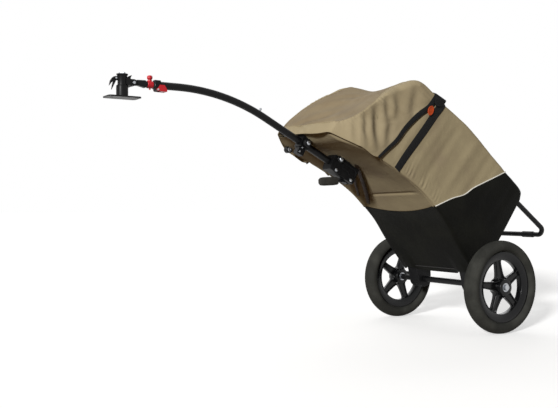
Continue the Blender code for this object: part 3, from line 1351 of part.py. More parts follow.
def make_wheel(side_name, side, trolley):
    middle = side * TRACK / 2
    axis = axes(f"wheel_axis_{side_name}", (0, 0, 0), trolley)
    make_rim(f"rim_{side_name}", middle, WHEEL_TURN[side_name], axis)
    turned(f"tyre_{side_name}", tyre_profile(middle), "y", "tyre_rubber", axis, sides=36, wrap=True)
    centre = TYRE_CENTRE + INNER_TUBE_OUT
    height = WHEEL_RADIUS - TYRE_CENTRE - TYRE_WALL - INNER_TUBE_GAP
    half = TYRE_HALF - TYRE_WALL - INNER_TUBE_GAP
    outer = oval_profile(centre, height, half, middle, 8)
    inner = oval_profile(centre, height - INNER_TUBE_WALL, half - INNER_TUBE_WALL, middle, 8)
    air_tube = turned(f"inner_tube_{side_name}", outer, "y", "black_rubber", axis, sides=24, wrap=True)
    cut(air_tube, turned("air", inner, "y", None, axis, sides=24, wrap=True))
    valve_hole = ((0.003, centre - height - 0.005), (0.003, centre - height + 0.006))
    cut(air_tube, turned("valve_hole", valve_hole, "x", None, axis, (middle, 0), 8))
    for place, offset in (("outer", 1), ("inner", -1)):
        low = middle + side * offset * (HUB_HALF - 0.001)
        high = low - side * offset * BEARING_LENGTH
        ring = (
            (AXLE_BOLT_RADIUS + RUN, low),
            (HUB_BORE - TOUCH, low),
            (HUB_BORE - TOUCH, high),
            (AXLE_BOLT_RADIUS + RUN, high),
        )
        turned(f"bearing_{side_name}_{place}", ring, "y", "zinc", axis, sides=16, wrap=True)
    make_axle_bolt(f"axle_bolt_{side_name}", side, trolley)


def main():
    clear_scene()
    make_post()
    make_swivel()
    make_arm()
    roll = make_clip()
    make_drawbar(roll)
    trolley = axes("trolley_axes", (AXLE_X, 0, AXLE_Z), lean=TILT)
    tub, board = make_tub(trolley)
    bag = make_upper_bag(trolley)
    make_rails(trolley, BAG_WALL + TOUCH + BOARD_THICKNESS + TOUCH)
    make_stand(trolley, tub, board)
    make_upper_clamp(trolley, bag)
    make_lower_clamp(trolley, bag)
    make_cam_lever(trolley)
    make_hood(trolley)
    make_keeper(trolley)
    make_axle(trolley)
    for side_name, side in (("left", 1), ("right", -1)):
        make_wheel(side_name, side, trolley)


main()
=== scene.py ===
"""The looks of the bike shopping trailer: cloth, webbing, rubber, tubes and metal laid over the
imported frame. Lengths are metres. Most pieces are drawn in the trolley's own axes (u, y, v), which
start at the axle: u runs up the bag, v is square to its front and grows towards its back.
"""
import bmesh
import bpy
import json
import numpy as np
from math import cos, pi, radians, sin
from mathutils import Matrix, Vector

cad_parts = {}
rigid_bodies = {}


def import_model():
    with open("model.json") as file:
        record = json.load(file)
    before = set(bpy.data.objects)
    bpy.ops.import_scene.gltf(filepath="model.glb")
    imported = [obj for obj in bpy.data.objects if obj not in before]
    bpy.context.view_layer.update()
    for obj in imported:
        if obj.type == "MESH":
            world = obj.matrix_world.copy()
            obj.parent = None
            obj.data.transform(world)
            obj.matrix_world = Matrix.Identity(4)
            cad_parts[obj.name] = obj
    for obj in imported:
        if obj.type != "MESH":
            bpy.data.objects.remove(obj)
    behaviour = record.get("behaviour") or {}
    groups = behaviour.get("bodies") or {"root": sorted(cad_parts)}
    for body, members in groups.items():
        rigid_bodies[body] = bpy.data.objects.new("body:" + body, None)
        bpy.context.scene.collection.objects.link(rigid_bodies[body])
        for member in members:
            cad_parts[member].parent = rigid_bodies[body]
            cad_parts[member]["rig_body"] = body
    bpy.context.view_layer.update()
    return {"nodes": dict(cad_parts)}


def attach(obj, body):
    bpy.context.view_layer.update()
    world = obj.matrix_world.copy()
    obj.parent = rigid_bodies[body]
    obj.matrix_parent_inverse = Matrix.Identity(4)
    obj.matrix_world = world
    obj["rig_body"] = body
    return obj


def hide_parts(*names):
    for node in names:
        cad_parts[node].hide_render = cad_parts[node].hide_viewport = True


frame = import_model()

TILT = radians(27.5)
AXLE = (-1.266365, 0.0, -0.59)
FLOOR_Z = -0.75
FLOOR_HALF = 60

# Bag: u of the front, v of the front, u and v of the back, and half of its width; its seams and
# corners; and where the clamps of its front and of its axle lie
BAG_FRONT_U = (0.067, 0.118, 0.187, 0.268, 0.335, 0.4, 0.47, 0.545, 0.629, 0.73, 0.77, 0.809)
BAG_FRONT_V = (0.016, 0.045, 0.08, 0.119, 0.1385, 0.155, 0.1635, 0.166, 0.1635, 0.154, 0.1508, 0.157)
BAG_BACK_U = (-0.029, -0.019, 0.013, 0.052, 0.089, 0.199, 0.314, 0.373, 0.43, 0.48, 0.505, 0.545)
BAG_BACK_V = (0.3655, 0.382, 0.391, 0.4, 0.408, 0.432, 0.457, 0.463, 0.466, 0.4665, 0.465, 0.458)
BAG_HALF = (0.188, 0.19, 0.192, 0.194, 0.196, 0.196, 0.196, 0.196, 0.196, 0.196, 0.196, 0.196)
BORDER_U = 0.335
BORDER_DIP = 0.026
FRONT_CORNER = 0.007
BACK_CORNER = 0.014
CLAMP_FACE_V = 0.155
AXLE_CLAMP_Y = 0.1385

# Hood: the half width at each u of its front corners, and its seam and hem from the back on
CORNER_U = (0.69, 0.706, 0.735, 0.769, 0.792, 0.806, 0.8145, 0.82)
CORNER_HALF = (0.1998, 0.199, 0.1885, 0.1705, 0.16, 0.153, 0.144, 0.129)
CORNER_LEAN = 0.54
HOOD_SAG = 0.0105
HOOD_HUMP_Y = 0.15
SEAM = np.array(((0.498, 0.474), (0.54, 0.4745), (0.575, 0.4735), (0.597, 0.469), (0.615, 0.459), (0.645, 0.425),
                 (0.684, 0.375), (0.715, 0.322), (0.748, 0.261), (0.772, 0.224), (0.789, 0.2045), (0.8, 0.1955)))
SEAM_SAG = (0, 0.3, 0.7, 1, 1, 0.9, 0.7, 0.5, 0.3, 0.2, 0.1, 0)
FAR_LIFT = 0.02
FAR_LIFT_SHARE = (0, 0.3, 0.75, 0.95, 1, 1, 1, 1, 0.85, 0.6, 0.3, 0)
HEM = np.array(((0.499, 0.462), (0.504, 0.452), (0.509, 0.441), (0.513, 0.431), (0.518, 0.418), (0.534, 0.39),
                (0.553, 0.353), (0.566, 0.312), (0.584, 0.262), (0.628, 0.166), (0.7, 0.158), (0.8, 0.157)))
FRONT_HEM_Y = (-1, -0.85, -0.68, -0.45, -0.2, 0.25, 0.55, 0.8, 1)
FRONT_HEM_V = (0.184, 0.18, 0.167, 0.158, 0.156, 0.153, 0.149, 0.15, 0.157)
FRONT_BOW = 0.0145
FRONT_SINK = 0.0065
SHOULDER_INSET = 0.052

# Points inside the bag, the tub and the hood, which their faces point away from
BAG_INSIDE = (0.4, 0, 0.28)
TUB_INSIDE = (0.2, 0, 0.25)
HOOD_INSIDE = (0.55, 0, 0.25)

# Folds of the hood: a line of (u, v) on its sides or (u, y) on its top, a depth and a width
SIDE_FOLDS = (
    (((0.722, 0.306), (0.704, 0.27), (0.684, 0.232), (0.64, 0.176)), 0.006, 0.016),
    (((0.747, 0.264), (0.73, 0.234), (0.716, 0.206), (0.682, 0.172)), 0.003, 0.0105),
    (((0.772, 0.224), (0.756, 0.202), (0.732, 0.167)), 0.0012, 0.009),
    (((0.7, 0.345), (0.673, 0.315), (0.65, 0.275)), 0.0038, 0.014),
    (((0.67, 0.385), (0.64, 0.345), (0.622, 0.3)), 0.003, 0.015),
    (((0.646, 0.31), (0.634, 0.25), (0.618, 0.2)), 0.0034, 0.015),
    (((0.608, 0.45), (0.59, 0.4), (0.578, 0.345)), 0.0026, 0.016),
)
TOP_FOLDS = (
    (((0.795, -0.1), (0.77, -0.02), (0.755, 0.08), (0.76, 0.14)), 0.004, 0.01),
    (((0.785, -0.14), (0.745, -0.06), (0.715, 0.02)), 0.0034, 0.01),
    (((0.735, -0.15), (0.7, -0.08), (0.69, 0.02), (0.7, 0.12)), 0.0036, 0.012),
    (((0.69, -0.12), (0.66, -0.05), (0.65, 0.04)), 0.003, 0.012),
    (((0.792, 0), (0.784, 0.06), (0.782, 0.11)), 0.0018, 0.006),
)

# Straps: (u, v) of the middle and the half width, from the front end to the bag's back
HOOD_STRAP = np.array((
    (0.6305, 0.16, 0.0046), (0.611, 0.2015, 0.0058), (0.588, 0.249, 0.0072), (0.5755, 0.296, 0.0082),
    (0.56, 0.337, 0.0088), (0.54, 0.378, 0.0094), (0.518, 0.415, 0.0098), (0.508, 0.45, 0.01)))
HOOD_STRAP_Y = (0.2066, 0.2046, 0.203, 0.2022, 0.2018, 0.2016, 0.2016, 0.2016)
SIDE_STRAP = np.array((
    (0.5405, 0.166, 0.0125), (0.527, 0.225, 0.0135), (0.507, 0.3, 0.0145), (0.492, 0.358, 0.015),
    (0.479, 0.415, 0.0155), (0.47, 0.448, 0.0155)))

# Wheels: how far each is turned, half the track, and the middle of the tyre's section
WHEEL_TURN = {"left": radians(-20.3), "right": radians(4.9)}
TRACK_HALF = 0.2675
TYRE_MIDDLE = 0.1385
SIDES = (("left", 1), ("right", -1))

# Tubes: the drawbar's bend, its end on the bag, where the rails lie, and the lower clamp's bolt
BEND_START = -0.174
BEND_RADIUS = 0.67
DRAWBAR_Z = 0.0455
DRAWBAR_END = (0.57, 0, 0.135)
RAIL_Y = 0.15
RAIL_V = 0.181
CLAMP_BOLT = (0.646, 0, 0.1545)


# Shapes


def limited(x):
    """x held between 0 and 1."""
    return np.clip(x, 0, 1)


def rise(x, start, width):
    """From 0 to 1 while x goes from start to start + width."""
    return limited((x - start) / width)


def fall(x, end, width):
    """From 1 to 0 while x goes from end - width to end."""
    return limited((end - x) / width)


def hump(x, middle, width):
    """1 at the middle, and down as a parabola to 0 a width away."""
    return limited(1 - ((x - middle) / width) ** 2)


def bell(x, middle, width, power=2):
    """1 at the middle, and exp(-1) one width away: e to minus a power of the distance."""
    return np.exp(-(((x - middle) / width) ** power))


def stacked(*parts):
    """Values side by side as points."""
    return np.stack(np.broadcast_arrays(*parts), axis=-1)


def whole_turn(count):
    return np.linspace(0, 2 * pi, count, endpoint=False)


def distances(line):
    """How far along a line each of its points lies, or how far down a grid its rows lie on average."""
    steps = np.linalg.norm(np.diff(line, axis=0), axis=-1)
    return np.concatenate(((0,), np.cumsum(steps.reshape(len(steps), -1).mean(axis=1))))


def evenly(line, count):
    """A line as count points at equal distances."""
    run = distances(line)
    even = np.linspace(0, run[-1], count)
    return stacked(*(np.interp(even, run, column) for column in line.T))


def trolley(points):
    """Points (u, y, v) in the frame: x and z are u and v turned by TILT about the axle."""
    u, y, v = np.moveaxis(np.asarray(points, float), -1, 0)
    return stacked(AXLE[0] + u * cos(TILT) - v * sin(TILT), y, AXLE[2] + u * sin(TILT) + v * cos(TILT))


def curve_at(x, xs, ys):
    """A smooth curve through (xs, ys): a cubic between each two, with the mean slope at each."""
    xs, ys = np.asarray(xs, float), np.asarray(ys, float)
    slope = np.gradient(ys, xs)
    x = np.clip(x, xs[0], xs[-1])
    i = np.clip(np.searchsorted(xs, x) - 1, 0, len(xs) - 2)
    step = xs[i + 1] - xs[i]
    t = (x - xs[i]) / step
    start = (2 * t**3 - 3 * t**2 + 1) * ys[i] + (t**3 - 2 * t**2 + t) * step * slope[i]
    return start + (3 * t**2 - 2 * t**3) * ys[i + 1] + (t**3 - t**2) * step * slope[i + 1]


def smooth_line(points, count):
    """The smooth line through points, as count points at equal distances."""
    points = np.asarray(points, float)
    along = distances(points)
    fine = np.linspace(0, along[-1], count * 8)
    return evenly(stacked(*(curve_at(fine, along, column) for column in points.T)), count)


def unit(vectors):
    return vectors / np.maximum(np.linalg.norm(vectors, axis=-1, keepdims=True), 1e-12)


def carried(path, section, up):
    """A section (a, b) carried along a path: up is made square to the path's way, side is up
    crossed with the way, and each ring is path + a * side + b * up."""
    way = unit(np.gradient(path, axis=0))
    up = np.broadcast_to(np.asarray(up, float), path.shape)
    up = unit(up - way * (up * way).sum(-1, keepdims=True))
    side = np.cross(up, way)
    return path[:, None] + side[:, None] * section[..., 0:1] + up[:, None] * section[..., 1:2]


def circle(radius, count):
    """Points (a, b) = radius * (cos, sin) of an even turn."""
    angle = whole_turn(count)
    return stacked(radius * np.cos(angle), radius * np.sin(angle))


def turned(profile, centre, count):
    """A profile (radius, y) turned about the y axis: x = radius * cos, z = radius * sin."""
    angle = whole_turn(count)[:, None]
    radius, height = np.moveaxis(np.asarray(profile, float), -1, 0)
    return stacked(radius * np.cos(angle), height, radius * np.sin(angle)) + np.asarray(centre, float)


def both_sides(half):
    """Half of a section or of a route, and then its mirror image: y is the second number."""
    half = np.array(half, float)
    other = half[::-1].copy()
    other[:, 1] *= -1
    return np.concatenate((half, other))


def folds(a, b, size_a, size_b, seed, waves=6):
    """Soft noise from -1 to 1: a mean of sine waves of a and b, with seeded ways and phases."""
    draw = np.random.default_rng(seed)
    total = 0
    for _ in range(waves):
        scale, tilt, phase = draw.uniform(0.7, 1.5), draw.uniform(-0.6, 0.6), draw.uniform(0, 2 * pi)
        total = total + np.sin(2 * pi * (a / (size_a * scale) + tilt * b / size_b) + phase)
    return total / waves


def grid_normals(grid):
    """The cross product of a grid's two slopes, made unit length."""
    return unit(np.cross(np.gradient(grid, axis=0), np.gradient(grid, axis=1)))


# Meshes


def surface(name, grid, finish, body, slot, ring=False, loop=False, ends=False, inside=None, hole=None,
            sharp=40):
    """A mesh on a grid of points (rows, columns). ring joins the last column to the first and loop
    the last row to the first; ends fills the first and the last row. hole is a mask of faces left
    out. Its UV is the distance along the rows and the columns, in metres. Faces are turned to
    point away from inside, or outwards by the sign of the shell's volume."""
    rows, columns = grid.shape[:2]
    index = np.arange(rows * columns).reshape(rows, columns)
    laid = np.asarray(grid, float)
    if loop:
        index, laid = np.vstack((index, index[:1])), np.concatenate((laid, laid[:1]))
    if ring:
        index, laid = np.hstack((index, index[:, :1])), np.concatenate((laid, laid[:, :1]), axis=1)
    place = stacked(distances(laid.swapaxes(0, 1)), distances(laid)[:, None])
    corners = lambda a: np.stack((a[:-1, :-1], a[:-1, 1:], a[1:, 1:], a[1:, :-1]), axis=2)
    faces, texture, at = corners(index), corners(place), corners(laid)
    keep = np.ones(faces.shape[:2], bool) if hole is None else ~hole
    faces, texture, at = faces[keep], texture[keep], at[keep]
    middle = laid.reshape(-1, 3).mean(axis=0) if inside is None else np.asarray(inside, float)
    normal = np.cross(at[:, 2] - at[:, 0], at[:, 3] - at[:, 1])
    outward = ((at.mean(axis=1) - middle) * normal).sum() > 0
    if not outward:
        faces, texture = faces[:, ::-1], texture[:, ::-1]
    polygons = faces.tolist()
    if ends:
        first, last = index[0, :columns].tolist(), index[-1, :columns].tolist()
        polygons += [first, last[::-1]] if not outward else [first[::-1], last]
        texture = np.concatenate((texture.reshape(-1, 2), np.zeros((2 * columns, 2))))
    mesh = bpy.data.meshes.new(name)
    mesh.from_pydata(np.asarray(grid, float).reshape(-1, 3).tolist(), [], polygons)
    mesh.uv_layers.new(name="cloth").data.foreach_set("uv", texture.ravel())
    mesh.shade_smooth()
    mesh.set_sharp_from_angle(angle=radians(sharp))
    return placed(name, mesh, finish, body)


def linked(name, data):
    """An object of the scene."""
    made = bpy.data.objects.new(name, data)
    bpy.context.scene.collection.objects.link(made)
    return made


def placed(name, mesh, finish, body):
    """A piece with its material, on its body."""
    piece = linked(name, mesh)
    mesh.materials.append(finish)
    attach(piece, body)
    return piece


def sheet(name, grid, finish, body, slot, inside, thickness, **settings):
    """Cloth on a grid in the trolley's axes: a surface with a wall laid inwards from it."""
    piece = surface(name, trolley(grid), finish, body, slot, inside=trolley(inside), sharp=60, **settings)
    wall = piece.modifiers.new("wall", "SOLIDIFY")
    wall.thickness = thickness
    wall.offset = -1.0
    wall.use_even_offset = False
    return piece


def joined(name, pieces):
    """Several pieces made one: their meshes in one object, with one material."""
    mesh = bmesh.new()
    for piece in pieces:
        mesh.from_mesh(piece.data)
    result = pieces[0]
    mesh.to_mesh(result.data)
    mesh.free()
    result.name = name
    for piece in pieces[1:]:
        bpy.data.objects.remove(piece)
    return result


def pipe(name, path, radius, finish, body, slot, up=(0, 1, 0), sides=10):
    """A round bar: a circle carried along a path."""
    return surface(name, carried(path, circle(radius, sides), up), finish, body, slot, ring=True, ends=True)


def lathed(name, profile, centre, count, finish, body, slot, sharp=40):
    """A closed section turned about the y axis."""
    return surface(name, turned(profile, centre, count), finish, body, slot, ring=True, loop=True, sharp=sharp)


def finished_copy(solid, finish, round_by):
    """A CAD node's shape with rounded edges: its triangles are merged, flat faces joined, and a
    Bevel rounds every edge over an angle."""
    source = frame["nodes"][solid]
    shape = bmesh.new()
    shape.from_mesh(source.data)
    bmesh.ops.remove_doubles(shape, verts=shape.verts, dist=0.00002)
    bmesh.ops.dissolve_limit(shape, angle_limit=radians(2), verts=shape.verts, edges=shape.edges)
    mesh = bpy.data.meshes.new(f"{solid}_finished")
    shape.to_mesh(mesh)
    shape.free()
    mesh.shade_smooth()
    mesh.set_sharp_from_angle(angle=radians(35))
    piece = placed(f"{solid}_finished", mesh, finish, source["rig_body"])
    bevel = piece.modifiers.new("edges", "BEVEL")
    bevel.width = round_by
    bevel.segments = 2
    bevel.limit_method = "ANGLE"
    bevel.angle_limit = radians(28)
    bevel.harden_normals = True
    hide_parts(solid)


# Materials

# A wave texture of this scale repeats once a metre
WAVE_SCALE = 0.314


def linear(hexadecimal):
    """An sRGB hex colour as linear red, green, blue and alpha."""
    value = np.array([int(hexadecimal[k:k + 2], 16) / 255 for k in (1, 3, 5)])
    rgb = np.where(value <= 0.04045, value / 12.92, ((value + 0.055) / 1.055) ** 2.4)
    return (*rgb.tolist(), 1.0)


def material(name, colour, roughness, **sockets):
    """A Principled material; sockets are further inputs, with _ for each space."""
    made = bpy.data.materials.new(name)
    made.use_nodes = True
    shader = made.node_tree.nodes["Principled BSDF"]
    shader.inputs["Base Color"].default_value = linear(colour)
    shader.inputs["Roughness"].default_value = roughness
    for socket, value in sockets.items():
        shader.inputs[socket.replace("_", " ")].default_value = value
    return made


def node(made, kind, links=(), stops=(), **settings):
    """Adds a node. links are (input, source node, its output) and stops the (place, colour) of a
    ramp; a setting that is no property of the node is the value of its input of that name."""
    tree = made.node_tree
    added = tree.nodes.new("ShaderNode" + kind)
    for k, (place, colour) in enumerate(stops):
        stop = added.color_ramp.elements[k] if k < 2 else added.color_ramp.elements.new(place)
        stop.position = place
        stop.color = linear(colour)
    for key, value in settings.items():
        if hasattr(added, key):
            setattr(added, key, value)
        else:
            added.inputs[key.replace("_", " ")].default_value = value
    for socket, source, output in links:
        tree.links.new(source.outputs[output], added.inputs[socket])
    return added


def feed(made, socket, source, output):
    """Links a node's output to an input of the material's shader."""
    shader = made.node_tree.nodes["Principled BSDF"]
    made.node_tree.links.new(source.outputs[output], shader.inputs[socket])


def cloth(name, dark, middle, light, roughness, sheen=0.04):
    """Coated polyester: a plain weave gives a fine even grain, and the coating soft creases and a
    weak sheen. The weave is drawn at 2.2 mm a thread, since the real 0.4 mm is too fine to show."""
    made = material(name, middle, roughness, Sheen_Weight=sheen, Sheen_Roughness=0.5, Specular_IOR_Level=0.05)
    where = node(made, "TexCoord")
    patches = node(made, "TexNoise", [("Vector", where, "Object")], Scale=9.0, Detail=4.0, Roughness=0.6)
    stops = (0.34, dark), (0.66, light), (0.5, middle)
    feed(made, "Base Color", node(made, "ValToRGB", [("Fac", patches, "Fac")], stops), "Color")
    warp, weft = (node(made, "TexWave", [("Vector", where, "UV")], bands_direction=way, Distortion=0.4,
                       Scale=WAVE_SCALE / 0.0022, Detail=1.0) for way in "XY")
    weave = node(made, "Math", [(0, warp, "Fac"), (1, weft, "Fac")], operation="MULTIPLY")
    crumple = node(made, "TexNoise", [("Vector", where, "Object")], Scale=38.0, Detail=5.0, Roughness=0.62,
                   Distortion=0.6)
    first = node(made, "Bump", [("Height", crumple, "Fac")], Strength=0.35, Distance=0.0036)
    last = node(made, "Bump", [("Height", weave, "Value"), ("Normal", first, "Normal")], Strength=0.25,
                Distance=0.0002)
    feed(made, "Normal", last, "Normal")
    return made


def webbing(name, dark, light):
    """Woven polypropylene tape: cross ribs 2.1 mm apart over its whole width, satin."""
    made = material(name, dark, 0.66, Specular_IOR_Level=0.1)
    where = node(made, "TexCoord")
    ribs = node(made, "TexWave", [("Vector", where, "UV")], bands_direction="Y", Scale=WAVE_SCALE / 0.0021,
                Distortion=1.2, Detail=1.0)
    colour = node(made, "ValToRGB", [("Fac", ribs, "Fac")], ((0.2, dark), (0.9, light)))
    feed(made, "Base Color", colour, "Color")
    feed(made, "Normal", node(made, "Bump", [("Height", ribs, "Fac")], Strength=0.6, Distance=0.0004), "Normal")
    return made


def grained(name, dark, light, roughness, scale, depth, **sockets):
    """A finish with a fine grain: noise of one size in its surface, and broader noise in its
    colour and its roughness."""
    made = material(name, dark, roughness, **sockets)
    where = node(made, "TexCoord")
    grain = node(made, "TexNoise", [("Vector", where, "Object")], Scale=scale, Detail=4.0, Roughness=0.6)
    wear = node(made, "TexNoise", [("Vector", where, "Object")], Scale=scale / 14, Detail=4.0)
    colour = node(made, "ValToRGB", [("Fac", wear, "Fac")], ((0.4, dark), (0.72, light)))
    feed(made, "Base Color", colour, "Color")
    rough = node(made, "MapRange", [("Value", wear, "Fac")], From_Min=0.3, From_Max=0.7,
                 To_Min=roughness * 0.85, To_Max=min(1.0, roughness * 1.2))
    feed(made, "Roughness", rough, "Result")
    feed(made, "Normal", node(made, "Bump", [("Height", grain, "Fac")], Strength=0.35, Distance=depth), "Normal")
    return made


# Powder-coated steel: a satin black skin with a fine orange peel of about 1.5 mm
POWDER = grained("powder_coated_steel", "#0a0a0b", "#101011", 0.38, 700.0, 0.0002, Specular_IOR_Level=0.16)
# Zinc-plated steel: grey, bright, with faint cloudy patches
ZINC = grained("zinc_plated_steel", "#9fa2a6", "#bcbec1", 0.38, 900.0, 0.00008, Metallic=1.0)
# Glass-filled nylon, moulded: near black, a matt spark-eroded grain
NYLON = grained("moulded_nylon", "#0a0a0b", "#101011", 0.45, 1200.0, 0.00015, Specular_IOR_Level=0.14)
# Gloss black nylon of the wheels: moulded smooth, so it mirrors lamps softly
GLOSS = grained("gloss_moulded_nylon", "#0a0a0b", "#101011", 0.24, 500.0, 0.00006, Specular_IOR_Level=0.22)
# Red ABS: moulded and slightly glossy
RED = grained("moulded_red_abs", "#bd1a26", "#c9232c", 0.34, 900.0, 0.00008, Specular_IOR_Level=0.3)
# Grip rubber: soft, dark warm grey, dull
GRIP = grained("grip_rubber", "#33322f", "#3f3d39", 0.74, 900.0, 0.0002, Specular_IOR_Level=0.1)
# Tyre rubber: grey-black, dull, with road dust in its grain
TYRE = grained("tyre_rubber", "#2b2b28", "#3d3d39", 0.85, 260.0, 0.0016, Specular_IOR_Level=0.1)
# Butyl rubber of the inner tubes: smooth and black
BUTYL = grained("inner_tube_rubber", "#141414", "#1b1b1b", 0.6, 600.0, 0.0001)
# Hardboard with a painted face
BOARD = grained("painted_board", "#1d1c1b", "#262524", 0.7, 300.0, 0.0002)
# Orange rubber tag: moulded, bare, matt
TAG = grained("orange_rubber", "#a23d1a", "#b5481f", 0.6, 800.0, 0.0001, Specular_IOR_Level=0.15)
# Reflective piping: pale grey-white coated tape over a cord, slightly pearly
PIPING = grained("reflective_tape", "#cfcdc4", "#dedcd4", 0.42, 900.0, 0.0001)
# One khaki polyester in three copies. The hood's top is a darker copy, which is painted shade. The hood's sides,
# with their seam welt and front hem, are a lighter copy, which is painted light. The bag's copy lies between
# them.
HOOD_TOP_CLOTH_PAINTED_SHADE = cloth("khaki_polyester_top_painted_shade", "#7f7059", "#86775e", "#8c7d63", 0.8)
HOOD_SIDE_CLOTH_PAINTED_LIGHT = cloth("khaki_polyester_side_painted_light", "#988a6d", "#9c8e71", "#a09275", 0.8)
BAG_CLOTH = cloth("khaki_polyester_bag", "#92846a", "#978a6d", "#9c8f71", 0.8)
TUB_CLOTH = cloth("black_nylon", "#0a0a08", "#0e0e0b", "#141410", 0.7, sheen=0.02)
STRAP = webbing("black_polypropylene_webbing", "#0e0e0e", "#1b1b1b")
FRONT_STRAP = webbing("brown_webbing", "#1e1208", "#2b1c0e")


# Bag


def bag_template():
    """A rectangle with round corners as columns: (sx, sy, ox, oy, front). Its point is centre
    + (sx * (a - r) + ox * r) along + (sy * (b - r) + oy * r) across, where r is the corner's own
    radius. The first column is the middle of the back."""
    parts = []

    def side(count, sx, sy, ox, oy):
        parts.append(stacked(sx, sy, ox, oy, np.zeros(count)))

    def corner(count, sx, sy, start, front):
        angle = radians(start) + np.linspace(0, pi / 2, count)
        parts.append(stacked(sx, sy, np.cos(angle), np.sin(angle), front))

    side(40, 1.0, np.linspace(0, 1, 41)[:-1], 1.0, 0.0)
    corner(8, 1, 1, 0, 0)
    side(108, np.linspace(1, -1, 110)[1:-1], 1.0, 0.0, 1.0)
    corner(7, -1, 1, 90, 1)
    side(96, -1.0, np.linspace(1, -1, 98)[1:-1], -1.0, 0.0)
    corner(7, -1, -1, 180, 1)
    side(108, np.linspace(-1, 1, 110)[1:-1], -1.0, 0.0, -1.0)
    corner(8, 1, -1, 270, 0)
    side(40, 1.0, np.linspace(-1, 0, 41)[1:] - 0.0125, 1.0, 0.0)
    return np.concatenate(parts)


def bag_shell(u, template, out=0.0):
    """Points (u, y, v) of the bag's skin and its outward ways. u (rows, columns) is the front's u
    at each point: front and back points at that u span the middle line of one slice, and the
    template's rectangle lies in the slice. Near the top its front narrows with the hood's."""
    sx, sy, ox, oy, front = template.T
    front_v = curve_at(u, BAG_FRONT_U, BAG_FRONT_V)
    back_u = curve_at(u, BAG_FRONT_U, BAG_BACK_U)
    back_v = curve_at(u, BAG_FRONT_U, BAG_BACK_V)
    half = curve_at(u, BAG_FRONT_U, BAG_HALF)
    top_corner = 0.016 * rise(u, 0.68, 0.08)
    radius = np.where(front > 0, FRONT_CORNER + top_corner, BACK_CORNER)
    across_u, across_v = back_u - u, back_v - front_v
    length = np.hypot(across_u, across_v)
    way_u, way_v = across_u / length, across_v / length
    along = length / 2 + sx * (length / 2 - radius) + ox * radius
    y = sy * (half - radius) + oy * radius
    narrow = np.minimum(1, (np.interp(u, CORNER_U, CORNER_HALF) - 0.004) / 0.196)
    y = y * (narrow + (1 - narrow) * limited(along / length * 2.5))
    skin = stacked(u + way_u * along, y, front_v + way_v * along)
    outward = stacked(way_u * ox, oy, way_v * ox)
    return skin + outward * out, outward


def bag_wrinkles(skin, outward, tub):
    """Folds of the bag's cloth: broad waves along its straps' slope on its sides, short gathers
    beside its front corner seams, billows between the tubes of its front and a crease across it.
    Each is a sine or noise times a fade."""
    u, y, v = np.moveaxis(skin, -1, 0)
    side = np.abs(outward[..., 1])
    slant = u + 0.246 * v
    edge = rise(v, 0.17, 0.05) * fall(v, 0.45, 0.05)
    wave = 0.0016 * folds(slant, v, 0.05, 1.4, 4, 8) + 0.0013 * folds(slant, v, 0.095, 0.9, 5, 5)
    broad = 0.0032 * folds(slant, v, 0.17, 0.7, 6)
    front_v = curve_at(np.clip(u, 0.07, 0.8), BAG_FRONT_U, BAG_FRONT_V)
    near_seam = np.exp(-np.maximum(v - front_v - 0.01, 0) / 0.024) * rise(v - front_v, 0.004, 0.01)
    gather = 0.0017 * np.sin(2 * pi * u / 0.0155 + 4.5 * folds(u, v, 0.07, 0.3, 7)) * near_seam
    gather = gather * limited(0.6 + 0.9 * folds(u, v, 0.05, 0.4, 10)) * bell(u, 0.43, 0.1)
    uncovered = fall(u, 0.6, 0.05)
    sides = side * (edge * (wave + broad) + gather) * uncovered
    face = limited(-(outward[..., 2] - 0.2))
    fold = -0.004 * bell(u - 0.398, 0.02 * y, 0.006) * fall(np.abs(y), 0.17, 0.04)
    between = hump(y, 0, 0.135)
    billow = -0.005 * between * (bell(u, 0.505, 0.055) + 0.7 * bell(u, 0.705, 0.032))
    dents = face * (0.003 * folds(u, y, 0.22, 0.3, 8) * (u < 0.56) + fold + billow)
    back = limited(outward[..., 2]) * (1 - side) * 0.0022 * folds(u, y, 0.2, 0.25, 9)
    return (sides + dents + back) * (0.5 if tub else 1.0)


def tub_sag(y, v):
    """How far the tub's floor hangs: a belly that is deepest near its front, less where the floor
    rests on the two axle clamps, a bell of y there."""
    along = rise(v, 0.016, 0.349)
    belly = 0.024 * np.sin(pi * (0.9 * along + 0.1) ** 0.6)
    clamp = bell(np.abs(y), AXLE_CLAMP_Y, 0.03, 4) * fall(v, 0.2, 0.04)
    return belly * (1 - clamp)


def border(template):
    """The u of the seam between khaki and black: it dips across the front as a parabola of y, and
    a little on the sides."""
    sx, sy, ox, oy = template.T[:4]
    across = np.abs(sy)
    facing = limited(-ox)
    slack = 0.009 * bell(sx, -0.28, 0.22) * (np.abs(oy) > 0.99)
    return BORDER_U - BORDER_DIP * (1 - across**2) * facing - slack


